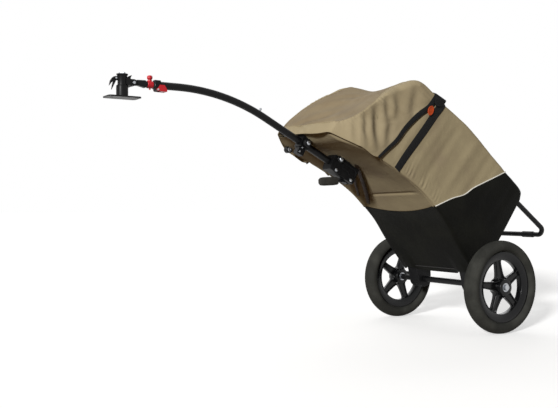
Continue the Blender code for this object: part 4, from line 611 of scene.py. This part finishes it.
def make_bag():
    """The khaki bag and the black tub below its border: slices of the shell, moved along their outward
    ways by the wrinkles. The tub closes with rings that shrink towards the middle of its floor."""
    template = bag_template()
    seam_u = border(template)
    rows = np.linspace(0, 1, 190)[:, None]
    u = seam_u + rows * (BAG_FRONT_U[-1] - seam_u)
    skin, outward = bag_shell(u, template)
    skin = skin + outward * bag_wrinkles(skin, outward, False)[..., None]
    middle = (skin[:-1, :] + skin[1:, :]) / 2
    front = np.abs(middle[..., 2] - CLAMP_FACE_V) < 0.03
    lower = front & (np.abs(middle[..., 0] - 0.62) < 0.0145) & (np.abs(middle[..., 1]) < 0.0235)
    upper = front & (middle[..., 0] > 0.772) & (np.abs(middle[..., 1]) < 0.018)
    bag = sheet("bag_cloth", skin, BAG_CLOTH, "trolley", "khaki_cloth", BAG_INSIDE, 0.0018, ring=True,
                hole=lower | upper)
    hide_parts("upper_bag")

    rows = np.linspace(0, 1, 90)[:, None]
    u = BAG_FRONT_U[0] + rows * (seam_u - BAG_FRONT_U[0])
    skin, outward = bag_shell(u, template)
    fade = rise(u, BAG_FRONT_U[0], 0.03)
    swell = 0.0045 * np.sin(pi * rows**0.8)
    skin = skin + outward * (bag_wrinkles(skin, outward, True) * fade + swell)[..., None]
    skin[..., 0] -= tub_sag(skin[..., 1], skin[..., 2]) * limited(1 - rows * 2.6) ** 2
    floor = skin[:1]
    share = np.linspace(0, 0.985, 26)[:, None, None]
    level = floor + stacked(tub_sag(floor[..., 1], floor[..., 2]), 0, 0)
    centre = level.mean(axis=1, keepdims=True)
    floor = centre + (level - centre) * share
    floor[..., 0] -= tub_sag(floor[..., 1], floor[..., 2])
    tub = sheet("tub_cloth", np.concatenate((floor, skin)), TUB_CLOTH, "trolley", "black_cloth", TUB_INSIDE,
                0.002, ring=True)
    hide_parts("tub")
    return template


def make_bag_trim(template):
    """Piping on the border round the sides and the back, and a double welt on each front corner."""
    u = border(template)[None, :]
    skin, outward = bag_shell(u, template, 0.0014)
    skin = skin + outward * (bag_wrinkles(skin, outward, False) * 0.7)[..., None]
    on_front = template[:, 2] < -0.75
    start = np.argmax(on_front)
    end = len(template) - np.argmax(on_front[::-1])
    line = np.concatenate((skin[0, end:], skin[0, :start]))
    path = smooth_line(trolley(line), 260)
    piping = pipe("border_piping", path, 0.0021, PIPING, "trolley", "reflective", up=(0.46, 0, -0.89), sides=12)
    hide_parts("piping")
    for name, sign in SIDES:
        for k, (turn, radius) in enumerate(((132, 0.0015), (168, 0.0009))):
            angle = radians(turn)
            column = np.array([[-1.0, float(sign), cos(angle), sign * sin(angle), 1.0]])
            u = np.linspace(BORDER_U - 0.004, 0.68, 100)[:, None]
            skin, outward = bag_shell(u, column, 0.0004)
            if k:
                skin = skin - np.array((0, sign * 0.006, 0))
            sunk = rise(u, 0.615, 0.05)[..., None]
            skin = skin + sunk * np.array((0, -sign * 0.004, 0.004))
            pipe(f"corner_welt_{name}_{k + 1}", trolley(skin[:, 0]), radius, BAG_CLOTH, "trolley", "khaki_cloth")


# Hood


def hood_half(u, v):
    """The hood's half width: full, and narrowing over its sloping front corners."""
    return np.interp(u - CORNER_LEAN * (v - CLAMP_FACE_V), CORNER_U, CORNER_HALF)


def spread(values, t):
    """A smooth curve through values at even steps of t from 0 to 1."""
    return curve_at(t, np.linspace(0, 1, len(values)), values)


def hood_line(points, t):
    """(u, v) along a line of the hood, t from 0 at its back to 1 at its front corner."""
    return stacked(*(spread(column, t) for column in points.T))


def shoulder(t):
    """How far the seam lies inside the hood's side, and the radius of the round shoulder there:
    both grow from nothing at the front, where the seam is the edge, to the two humps."""
    w = fall(hood_line(SEAM, t)[:, 0], 0.735, 0.09)
    w = w * w * (3 - 2 * w)
    return SHOULDER_INSET * w, 0.002 + 0.018 * w * limited(0.35 + 2.6 * t)


def crown(t, y):
    """How far the top lies inside the seam's line: a fourth-power dip in its middle, less a round
    swelling under each shoulder, and less the far hump, which stands higher."""
    w = shoulder(t)[0][:, None] / SHOULDER_INSET
    dip = hump(y, -0.01, HOOD_HUMP_Y) ** 2
    sunk = HOOD_SAG * spread(SEAM_SAG, t)[:, None] * dip
    rear = bell(t[:, None], 0.15, 0.1)
    swell = np.where(y > 0, 0.001 + 0.0115 * rear, 0.001) * w * bell(np.abs(y), 0.162, 0.036)
    far = rise(-y, 0, 0.15)
    lift = FAR_LIFT * spread(FAR_LIFT_SHARE, t)[:, None] * far**2 * (3 - 2 * far)
    return sunk - swell * limited(t[:, None] * 12) - lift


def inward_ways(line):
    """The line's way turned by a right angle, into the hood."""
    slope = np.gradient(line, axis=0)
    return unit(stacked(slope[:, 1], -slope[:, 0]))


def hood_side(t, side, rows):
    """One side of the hood from its seam to its hem: over the shoulder, a quarter circle down and
    straight to the hem, resampled to even distances in each column."""
    line, hem = hood_line(SEAM, t), hood_line(HEM, t)
    if side < 0:
        hem[:, 1] += 0.029 * rise(hem[:, 0], 0.73, 0.0845) ** 2
    inward = inward_ways(line)
    half = hood_half(line[:, 0], line[:, 1])
    inset, radius = shoulder(t)
    q = np.linspace(0, 1, 16)
    y_top = (half - inset - 0.0005)[:, None] + q * (inset - radius + 0.0005)[:, None]
    y_top = np.minimum(y_top, (half - radius)[:, None] + q * 0.0002)
    turn = np.linspace(0, pi / 2, 14)[1:]
    y_arc = (half - radius)[:, None] + radius[:, None] * np.sin(turn)
    drop = np.concatenate((0 * y_top, radius[:, None] * (1 - np.cos(turn))), axis=1)
    y = np.concatenate((y_top, y_arc), axis=1)
    depth = crown(t, side * y) + drop
    uv = line[:, None] + inward[:, None] * depth[..., None]
    share = np.linspace(0, 1, 50)[1:][None, :, None]
    wall = uv[:, -1:] * (1 - share) + hem[:, None] * share
    y_wall = hood_half(wall[..., 0], wall[..., 1])
    uv, y = np.concatenate((uv, wall), axis=1), np.concatenate((y, y_wall), axis=1)
    section = stacked(uv[..., 0], side * y, uv[..., 1])
    return np.stack([evenly(line, rows) for line in section], axis=1)


def crease(points, line, depth, width):
    """A fold along a line of (u, v): a ridge on one side of it and a hollow on the other, x times
    the bell of x for a distance of x widths, fading at the line's ends."""
    path = smooth_line(line, 60)
    distance = np.linalg.norm(points[..., None, :] - path, axis=-1)
    nearest = distance.argmin(axis=-1)
    way = np.gradient(path, axis=0)[nearest]
    beside = points - path[nearest]
    sign = np.sign(way[..., 0] * beside[..., 1] - way[..., 1] * beside[..., 0])
    fade = np.sin(pi * (nearest / 59)) ** 0.7
    across = sign * distance.min(axis=-1) / width
    return 1.65 * depth * fade * across * np.exp(-(across**2) / 2)


def make_hood():
    """The top panel lies between the two seams. The skirt runs from the seam down to the hem, round
    the near side, the front and the far side, with gathers that fade from the seam."""
    t = np.linspace(0, 1, 200)
    line = hood_line(SEAM, t)
    inward = inward_ways(line)
    half = hood_half(line[:, 0], line[:, 1]) - shoulder(t)[0]
    share = np.sin(np.linspace(-pi / 2, pi / 2, 170))
    y = half[:, None] * share
    edge = (1 - np.abs(share))[None, :] * half[:, None]
    pucker = 0.0011 * np.sin(2 * pi * t[:, None] * 38 + 5 * folds(t[:, None], y, 0.2, 0.3, 11))
    pucker = pucker * np.exp(-edge / 0.012) * rise(edge, 0, 0.002)
    slack = 0.003 * folds(t[:, None] + 0.8 * np.abs(y), y, 0.22, 0.6, 12) * rise(edge, 0, 0.04)
    at = stacked(line[:, :1], y)
    folded = sum(crease(at, *fold) for fold in TOP_FOLDS)
    depth = crown(t, y) - (pucker + slack + folded * rise(edge, 0, 0.01)) + 0.0004
    uv = line[:, None, :] + inward[:, None, :] * depth[..., None]
    forward = rise(t[:, None], 0.86, 0.14) ** 2
    sink = FRONT_SINK * hump(share, 0.25, 0.75)
    reach = stacked(FRONT_BOW * (1 - share**4) ** 0.6, -sink)
    uv = uv + forward[..., None] * reach
    top = stacked(uv[..., 0], y, uv[..., 1])
    panel = sheet("hood_top_cloth", top, HOOD_TOP_CLOTH_PAINTED_SHADE, "lid", "khaki_cloth", HOOD_INSIDE, 0.0016)

    rows = 72
    across = np.linspace(0, 1, rows)[:, None]
    t_side = np.linspace(0, 1, 230)
    near, far = hood_side(t_side, 1, rows), hood_side(t_side, -1, rows)[:, ::-1]
    corner = near[:, -1]
    share = np.linspace(1, -1, 142)[1:-1]
    front_hem = curve_at(share, FRONT_HEM_Y, FRONT_HEM_V)
    ends = np.interp(share, (-1, 1), (0, 1))
    corner_v = far[:, 0, 2:3] * (1 - ends) + corner[:, 2:3] * ends
    hem_ends = far[-1, 0, 2] * (1 - ends) + corner[-1, 2] * ends
    v = corner_v + across * (front_hem - hem_ends)
    bulge = 0.004 * np.sin(pi * across * 0.85) * (1 - share**4)
    bow = FRONT_BOW * (1 - share**4) ** 0.6
    v = v - FRONT_SINK * (1 - across) * hump(share, 0.25, 0.75)
    front = stacked(corner[:, :1] + bulge + bow, share * corner[:, 1:2], v)
    skirt = np.concatenate((near, front, far), axis=1)
    run = distances(skirt[0])[None, :]
    u, v = skirt[..., 0], skirt[..., 2]
    sides = rise(np.abs(skirt[..., 1]), 0.13, 0.03)
    down = across * 0.16
    pucker = 0.0009 * np.sin(2 * pi * run / 0.0125 + 4.0 * folds(run, across, 0.13, 4, 13))
    pucker = pucker * np.exp(-down / 0.016) * limited(across * 30)
    slack = 0.0026 * folds(run, across, 0.12, 2.2, 14)
    slack = slack + 0.0016 * folds(run + 0.05 * across, across, 0.05, 1.2, 15)
    slack = slack * limited(across * 6) * np.clip((1 - across) * 7, 0.1, 1)
    at = stacked(u, v)
    folded = sum(crease(at, *fold) for fold in SIDE_FOLDS)
    bunched = 0.0009 * np.sin(2 * pi * run / 0.019 + 3.0 * folds(run, across, 0.09, 3, 16))
    bunched = bunched * bell(u, 0.715, 0.045) * np.exp(-down / 0.05) * limited(across * 12)
    height = pucker + slack + (folded + bunched) * sides
    height = height * np.where(sides > 0, np.clip((1 - across) * 10, 0.15, 1), 1)
    height = height + 0.0045 * across**4 * rise(u, 0.6, 0.05)
    normal = grid_normals(skirt)
    turn = np.sign((normal * (skirt - np.array(HOOD_INSIDE))).sum(-1, keepdims=True))
    skirt = skirt + normal * turn * (height[..., None] + 0.0004)
    sheet("hood_skirt_cloth", skirt, HOOD_SIDE_CLOTH_PAINTED_LIGHT, "lid", "khaki_cloth", HOOD_INSIDE, 0.0016)
    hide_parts("hood")
    path = smooth_line(trolley(skirt[0]), 460)
    pipe("hood_seam_welt", path, 0.0011, HOOD_SIDE_CLOTH_PAINTED_LIGHT, "lid", "khaki_cloth", up=(0.3, 0, 0.95))
    hem_path = trolley(skirt[-1, 120:-120] + normal[-1, 120:-120] * turn[-1, 120:-120] * 0.0006)
    pipe("hood_front_hem", smooth_line(hem_path, 260), 0.0013, HOOD_SIDE_CLOTH_PAINTED_LIGHT, "lid", "khaki_cloth",
         up=(0.46, 0, -0.89))


# Straps


def tape(half, thickness=0.0016):
    """A strap's section: a thin rectangle with cut corners, of one half width or of each of many."""
    edge = thickness / 2
    a = stacked(-half, -half + edge, half - edge, half, half - edge, -half + edge)
    return stacked(a, (0, edge, edge, 0, -edge, -edge))


def strap_grid(route, thickness=0.0016):
    """A flat strap along (u, y, v, half width). Its face turns from the bag's side to its back
    where the route goes round the corner."""
    path = smooth_line(route, 240)
    y, v, half = path.T[1:]
    to_side = rise(np.abs(y), 0.184, 0.012) * fall(v, 0.478, 0.012)
    out = stacked(0 * y, np.sign(y) * to_side, 1 - to_side + 1e-6)
    return carried(path[:, :3], tape(half, thickness), unit(out))


def round_back(line, side_y, back_v):
    """A route (u, y, v, half width) up the near side, round the back and down the far side."""
    near = np.insert(line, 1, side_y, axis=1)
    side_y = near[-1, 1]
    u, half = line[-1, 0] - 0.003, line[-1, 2]
    corner = np.array((
        (u, side_y - 0.0012, back_v - 0.008, half), (u - 0.001, side_y - 0.008, back_v - 0.0012, half),
        (u - 0.001, side_y - 0.03, back_v, half), (u - 0.001, side_y - 0.1, back_v, half)))
    return both_sides(np.concatenate((near, corner)))


def strap(name, grid, finish, body="trolley"):
    return surface(name, trolley(grid), finish, body, "webbing", ring=True, ends=True, sharp=50)


def flat_strap(name, line, half):
    """A strap laid on the bag's front along (u, y)."""
    line = smooth_line(line, 120)
    v = curve_at(line[:, 0], BAG_FRONT_U, BAG_FRONT_V) - 0.0016 - 0.004 * np.sin(np.linspace(0, pi, 120))
    path = stacked(line[:, 0], line[:, 1], v)
    return strap(name, carried(path, tape(half), (0, 0, -1)), FRONT_STRAP)


def make_straps():
    """The hood's strap and the bag's side strap, a patch on each back corner, a front strap, and a narrow dark
    strip beside it that is painted shade along the edge of the front's shaded zone.
    """
    grid = strap_grid(round_back(HOOD_STRAP, HOOD_STRAP_Y, 0.4768))
    lid_strap = strap("hood_strap_webbing", grid, STRAP, "lid")
    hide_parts("hood_strap")
    side_strap = strap("side_strap_webbing", strap_grid(round_back(SIDE_STRAP, 0.198, 0.469)), STRAP)
    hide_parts("side_strap")
    for name, sign in SIDES:
        route = np.array((
            (0.498, 0.203, 0.438, 0.006), (0.492, 0.2032, 0.45, 0.018), (0.487, 0.203, 0.464, 0.024),
            (0.485, 0.199, 0.4755, 0.024), (0.484, 0.19, 0.4785, 0.024), (0.484, 0.168, 0.4785, 0.024)))
        strap(f"corner_patch_{name}", strap_grid(route * np.array((1, sign, 1, 1)), 0.0022), STRAP)
    keeper = flat_strap("front_strap_long", ((0.59, 0.04), (0.47, -0.055), (0.352, -0.148)), 0.0075)
    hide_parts("keeper_strap")
    # This narrow dark strip is painted shade: it marks the edge of the shaded zone on the bag's front.
    flat_strap("front_painted_shade_strip", ((0.575, 0.012), (0.47, -0.1), (0.395, -0.165)), 0.0045)
    make_tag()


def make_tag():
    """A D-shaped rubber tag, domed: half ellipses stacked, each drawn in towards its top."""
    angle = whole_turn(64)
    flat = stacked(np.cos(angle) * 0.0135 * np.where(np.cos(angle) > 0, 1.0, 0.8), np.sin(angle) * 0.0175)
    rings = []
    for share, height in ((0.94, 0.0), (1.0, 0.0006), (1.0, 0.0016), (0.95, 0.0023), (0.8, 0.0025),
                          (0.76, 0.0021), (0.4, 0.0021), (0.02, 0.0021)):
        ring = flat * share
        rings.append(stacked(0.506 + ring[:, 0], 0.2036 + height, 0.409 + ring[:, 1]))
    tag = surface("side_tag", trolley(rings), TAG, "lid", "orange_rubber", ring=True, ends=True, sharp=50)
    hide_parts("strap_tag")


# Tubes


def rounded_route(corners, radius, steps=10):
    """A route with each inner corner replaced by an arc of a radius, or less where it must be."""
    corners = np.asarray(corners, float)
    route = [corners[:1]]
    for before, at, after in zip(corners, corners[1:], corners[2:]):
        back, ahead = unit(before - at), unit(after - at)
        half = np.arccos(np.clip(back @ ahead, -1, 1)) / 2
        reach = radius / np.tan(half)
        centre = at + unit(back + ahead) * radius / np.sin(half)
        first, last = at + back * reach - centre, at + ahead * reach - centre
        sweep = np.arccos(np.clip(first @ last / radius**2, -1, 1))
        share = np.linspace(0, 1, steps + 1)[:, None]
        arc = first * np.sin((1 - share) * sweep) + last * np.sin(share * sweep)
        route.append(centre + arc / np.sin(sweep))
    route.append(corners[-1:])
    return np.concatenate(route)


def hollow(name, path, radius, bore, up, body="trolley", sides=36):
    """A coated tube: the outer circle's rings, then the bore's, joined in a loop."""
    outer = carried(path, circle(radius, sides), up)
    inner = carried(path, circle(bore, sides), up)[::-1]
    return surface(name, np.concatenate((outer, inner)), POWDER, body, "powder_coat", ring=True, loop=True)


def make_tubes():
    """The drawbar is a straight, an arc that turns by the tilt and a straight down to the clamps.
    The other tubes are routes with rounded corners."""
    slope = np.linspace(0, TILT, 40)
    bend = stacked(BEND_START - BEND_RADIUS * np.sin(slope), 0, DRAWBAR_Z - BEND_RADIUS * (1 - np.cos(slope)))
    end = trolley(DRAWBAR_END)
    straight = bend[-1] + (end - bend[-1]) * np.linspace(0, 1, 12)[1:, None]
    path = np.concatenate((np.array(((-0.1174, 0, DRAWBAR_Z),)), bend, straight))
    bar = hollow("drawbar_tube", path, 0.0115, 0.0095, (0, 1, 0), "towbar", 48)
    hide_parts("drawbar")
    for name, side in SIDES:
        path = trolley(((0.086, side * RAIL_Y, RAIL_V), (0.735, side * RAIL_Y, RAIL_V)))
        path = path[0] + (path[1] - path[0]) * np.linspace(0, 1, 20)[:, None]
        rail = hollow(f"frame_rail_{name}", path, 0.01, 0.0085, (0, 1, 0))
        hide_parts(f"rail_{name}")
    leg = [(0.675, RAIL_Y, RAIL_V), (0.741, RAIL_Y, RAIL_V), (0.796, RAIL_Y, 0.1642)]
    bow = hollow("top_bow_tube", trolley(rounded_route(both_sides(leg), 0.048, 12)), 0.0082, 0.0067,
                 trolley((0, 0, 1)) - trolley((0, 0, 0)))
    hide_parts("top_bow")
    cross = trolley(stacked(0.62, np.linspace(-0.1397, 0.1397, 16), RAIL_V))
    bar = hollow("crossbar_tube", cross, 0.01, 0.0085, (0, 0, 1))
    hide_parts("crossbar")
    leg = [(0.02, 0.175, 0.352), (-0.1957, 0.175, 0.3217), (-0.2065, 0.171, 0.3009)]
    stand = hollow("stand_loop_tube", trolley(rounded_route(both_sides(leg), 0.018)), 0.009, 0.0075,
                   trolley((-0.7, 0, 0.7)) - trolley((0, 0, 0)))
    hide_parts("stand_loop")
    across = stacked(AXLE[0], np.linspace(-0.24, 0.24, 16), AXLE[2])
    axle = hollow("axle_tube_finished", across, 0.011, 0.0085, (0, 0, 1))
    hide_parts("axle_tube")


# Wheels


def make_tyre(name, side):
    """The tyre's oval section turned about the axle. Its radius loses a groove's depth where the
    tread's pattern, waves of the angle and of the way across, falls below nothing."""
    middle = side * TRACK_HALF
    turn = np.linspace(-radians(118), radians(118), 41)
    angle = whole_turn(288)[:, None]
    tread = fall(np.abs(turn), radians(64), radians(6))
    zigzag = np.sin(angle * 72 + np.sign(turn) * 1.6) * 0.35
    rib = np.abs(np.sin(turn * 5.2 + zigzag))
    block = np.abs(np.sin(angle * 36 + turn * 2.2))
    edge = rise(np.abs(turn), radians(26), radians(8))
    groove = fall(rib, 0.3, 0.2) * (1 - edge) + fall(block, 0.34, 0.2) * edge
    depth = 0.0013 * groove * tread
    radius = TYRE_MIDDLE + (0.0215 - depth) * np.cos(turn)
    across = middle + (0.029 - depth) * np.sin(turn)
    outer = turned(stacked(radius, across), AXLE, 288)
    bead = 0.0132
    inner_profile = [(0.123, bead), (0.1095, bead - 0.002), (0.1095, bead - 0.0065), (0.1245, bead - 0.005)]
    arc = np.linspace(radians(112), -radians(112), 16)
    inner_profile += [(TYRE_MIDDLE + 0.0175 * cos(a), 0.025 * sin(a)) for a in arc]
    inner_profile += [(r, -a) for r, a in inner_profile[3::-1]]
    inner = turned([(r, middle + a) for r, a in inner_profile], AXLE, 288)
    grid = np.concatenate((outer, inner), axis=1)
    tyre = surface(f"tread_{name}", grid, TYRE, f"wheel_{name}", "tyre_rubber", ring=True, loop=True, sharp=50)
    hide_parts(f"tyre_{name}")


def make_rim(name, side):
    """Rim band, hub and five I-shaped spokes. A spoke's section, an outline with a rib at each
    edge, is carried outwards, and its half width grows towards both ends like a fillet."""
    middle = (AXLE[0], side * TRACK_HALF, AXLE[2])
    finish = (GLOSS, f"wheel_{name}", "glossy_plastic")
    band = ((0.093, 0.01), (0.0938, 0.011), (0.1105, 0.0152), (0.12, 0.0165), (0.1212, 0.016),
            (0.1215, 0.0145), (0.11, 0.013), (0.106, 0.008))
    hub = ((0.0155, -0.0235), (0.0155, -0.0245), (0.0165, -0.0255), (0.0262, -0.0255), (0.0278, -0.0248),
           (0.0285, -0.0235))
    parts = [lathed("band", np.roll(both_sides(band), 1, axis=0), middle, 144, *finish, 45),
             lathed("hub", both_sides(hub), middle, 72, *finish, 45)]
    radius = np.linspace(0.026, 0.0965, 28)
    share = (radius - radius[0]) / (radius[-1] - radius[0])
    half = 0.016 + (0.01 - 0.016) * share + 0.006 * np.exp(-share / 0.07) + 0.012 * np.exp(-(1 - share) / 0.06)
    rib = 0.008 + 0.0085 * np.exp(-share / 0.1) + 0.002 * np.exp(-(1 - share) / 0.08)
    edge, web, soft = half - 0.0042, np.full_like(half, 0.0035), 0.0012
    quarter = ((-half, -rib + soft), (-half + soft, -rib), (-edge - soft, -rib), (-edge, -rib + soft),
               (-edge, -web - soft), (-edge + soft, -web))
    outline = list(quarter) + [(-a, b) for a, b in quarter[::-1]]
    outline += [(-a, -b) for a, b in outline]
    a, b = np.array(outline).transpose(1, 2, 0)[..., None]
    for k in range(5):
        angle = WHEEL_TURN[name] + TILT + 2 * pi * k / 5
        out, over = np.array((cos(angle), 0, sin(angle))), np.array((-sin(angle), 0, cos(angle)))
        grid = radius[:, None, None] * out + a * over + b * np.array((0, 1, 0)) + middle
        parts.append(surface("spoke", grid, *finish, ring=True, ends=True, sharp=45))
    rim = joined(f"spoked_rim_{name}", parts)
    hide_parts(f"rim_{name}")


# Room


def plainly_seen(made):
    """1 for what the camera, a mirror or glass sees, and 0 for what lights the object."""
    seen = node(made, "LightPath")
    mirrored = node(made, "Math", [(0, seen, "Is Glossy Ray"), (1, seen, "Is Transmission Ray")],
                    operation="MAXIMUM")
    return node(made, "Math", [(0, seen, "Is Camera Ray"), (1, mirrored, "Value")], operation="MAXIMUM")


def make_room():
    """A pale floor, a pale surround for what the camera and gloss see, and soft lamps."""
    floor_mesh = bpy.data.meshes.new("floor")
    corners = [(x * FLOOR_HALF, y * FLOOR_HALF, FLOOR_Z) for x, y in ((-1, -1), (1, -1), (1, 1), (-1, 1))]
    floor_mesh.from_pydata(corners, [], [(0, 1, 2, 3)])
    linked("floor", floor_mesh)
    paint = material("floor_paint", "#f4f3f1", 0.9, Specular_IOR_Level=0.0)
    nodes = paint.node_tree.nodes
    dark = node(paint, "BsdfDiffuse", Color=linear("#5e4420"))
    glow = node(paint, "Emission", Strength=0.42)
    lit = node(paint, "AddShader", [(0, nodes["Principled BSDF"], "BSDF"), (1, glow, "Emission")])
    mix = node(paint, "MixShader", [("Fac", plainly_seen(paint), "Value"), (1, dark, "BSDF"),
                                    (2, lit, "Shader")])
    paint.node_tree.links.new(mix.outputs["Shader"], nodes["Material Output"].inputs["Surface"])
    floor_mesh.materials.append(paint)

    world = bpy.data.worlds.new("surround")
    bpy.context.scene.world = world
    world.use_nodes = True
    nodes = world.node_tree.nodes
    light = nodes["Background"]
    light.inputs["Color"].default_value = (1, 1, 1, 1)
    light.inputs["Strength"].default_value = 0.22
    shown = node(world, "Background", Color=(1, 1, 1, 1), Strength=1.0)
    pick = node(world, "MixShader", [("Fac", plainly_seen(world), "Value"), (1, light, "Background"),
                                     (2, shown, "Background")])
    world.node_tree.links.new(pick.outputs["Shader"], nodes["World Output"].inputs["Surface"])

    for name, way, width, power in (("key", (-0.95, -0.62, -0.32), 6.0, 3.7),
                                    ("fill", (0.3, 0.8, -0.55), 60.0, 0.9)):
        lamp = bpy.data.lights.new(name, "SUN")
        lamp.angle = radians(width)
        lamp.energy = power
        holder = linked(name, lamp)
        holder.rotation_euler = Vector(way).to_track_quat("-Z", "Y").to_euler()


def make_camera():
    """The photo's view."""
    lens = bpy.data.cameras.new("camera")
    lens.lens = 52.41
    lens.sensor_width = 36
    camera = linked("camera", lens)
    camera.location = (0.863, 2.231, -0.3165)
    camera.rotation_euler = Vector((-0.5311, -0.8473, 0.00425)).to_track_quat("-Z", "Y").to_euler()
    bpy.context.scene.camera = camera


# Hard parts whose CAD shape is kept

FINISHED = (
    (POWDER, 0.0008, (
        "base_plate", "receiver_post", "swivel_head", "release_claw", "coupling_arm", "cam_lever")),
    (ZINC, 0.0003, (
        "pivot_bolt", "pitch_pin", "claw_pin", "clip_pin", "drawbar_plug", "stop_button", "clamp_bolt_upper",
        "clamp_bolt_lower", "lever_bolt", "guide_screw_upper", "guide_screw_lower")),
    (NYLON, 0.0009, (
        "clip_block", "upper_clamp", "lower_clamp", "clamp_knob", "stand_sleeve", "drawbar_end_cap",
        "axle_clamp_left", "axle_clamp_right")),
    (RED, 0.0006, ("lock_collar", "lock_button", "safety_clip")),
    (GRIP, 0.0012, ("lever_grip",)),
)
KEPT = (
    (NYLON, ("wear_washer",)),
    (ZINC, (
        "bearing_left_inner", "bearing_left_outer", "bearing_right_inner", "bearing_right_outer",
        "axle_bolt_left", "axle_bolt_right")),
    (BUTYL, ("inner_tube_left", "inner_tube_right")),
    (BOARD, ("base_board",)),
)


def finish_hard_parts():
    """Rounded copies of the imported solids, and the plain ones that hardly show."""
    for finish, round_by, names in FINISHED:
        for name in names:
            finished_copy(name, finish, 0.0022 if name == "lower_clamp" else round_by)
    for finish, names in KEPT:
        for name in names:
            mesh = frame["nodes"][name].data
            mesh.materials.clear()
            mesh.materials.append(finish)


def make_far_bolt():
    """A screw with a ring head on the far side of the bag's front, in a round black boss."""
    at = trolley((0.752, 0, 0.144))
    boss = ((0.0002, -0.1585), (0.0105, -0.1585), (0.012, -0.157), (0.012, -0.14), (0.0108, -0.1388),
            (0.0002, -0.1388))
    ring = ((0.0022, -0.139), (0.0074, -0.139), (0.0074, -0.1374), (0.0066, -0.1362), (0.003, -0.1362),
            (0.0022, -0.137))
    lathed("far_boss", boss, at, 48, NYLON, "trolley", "black_plastic")
    lathed("far_screw", ring, at, 48, ZINC, "trolley", "zinc")


def make_clamp_disc():
    """A scalloped round nut about the lower clamp's front bolt, and a rib round the clamp's face:
    the nut's rim is radius + a cosine of the angle, twelve times a turn."""
    angle = whole_turn(96)
    rim = 0.013 + 0.0006 * np.cos(12 * angle)
    profile = ((0.0072, 0.0246), (0.0, 0.0246), (0.0, 0.0294), (-0.0012, 0.0306), (-0.0042, 0.0312),
               (0.0074, 0.03))
    rings = []
    for k, (inward, height) in enumerate(profile):
        radius = rim + inward if 0 < k < 5 else inward
        rings.append(stacked(radius * np.cos(angle), height, radius * np.sin(angle)))
    nut = trolley(np.array(rings) + CLAMP_BOLT)
    surface("lower_clamp_nut", nut, GLOSS, "trolley", "black_plastic", ring=True, loop=True, sharp=35)
    cap = ((0.0002, 0.0282), (0.0078, 0.0282), (0.008, 0.03), (0.0066, 0.0326), (0.004, 0.0338),
           (0.0002, 0.0342))
    lathed("lower_clamp_cap", cap, trolley(CLAMP_BOLT), 48, ZINC, "trolley", "zinc")
    cap = ((0.0002, 0.0347), (0.0072, 0.0347), (0.0072, 0.0362), (0.0058, 0.0374), (0.0002, 0.0376))
    lathed("upper_knob_cap", cap, trolley((0.79, 0, 0.135)), 48, ZINC, "knob", "zinc")
    corners = ((0.63, 0.0248, 0.152), (0.574, 0.0248, 0.152), (0.5665, 0.0248, 0.144), (0.5665, 0.0248, 0.125),
               (0.59, 0.0248, 0.125), (0.6, 0.0248, 0.133), (0.63, 0.0248, 0.133))
    pipe("lower_clamp_rib", trolley(rounded_route(corners, 0.004, 6)), 0.002, NYLON, "trolley", "black_plastic",
         sides=12)


make_camera()
make_room()
make_bag_trim(make_bag())
make_hood()
make_straps()
make_tubes()
for name, side in SIDES:
    make_tyre(name, side)
    make_rim(name, side)
finish_hard_parts()
make_far_bolt()
make_clamp_disc()

bpy.context.scene.view_settings.view_transform = "Standard"
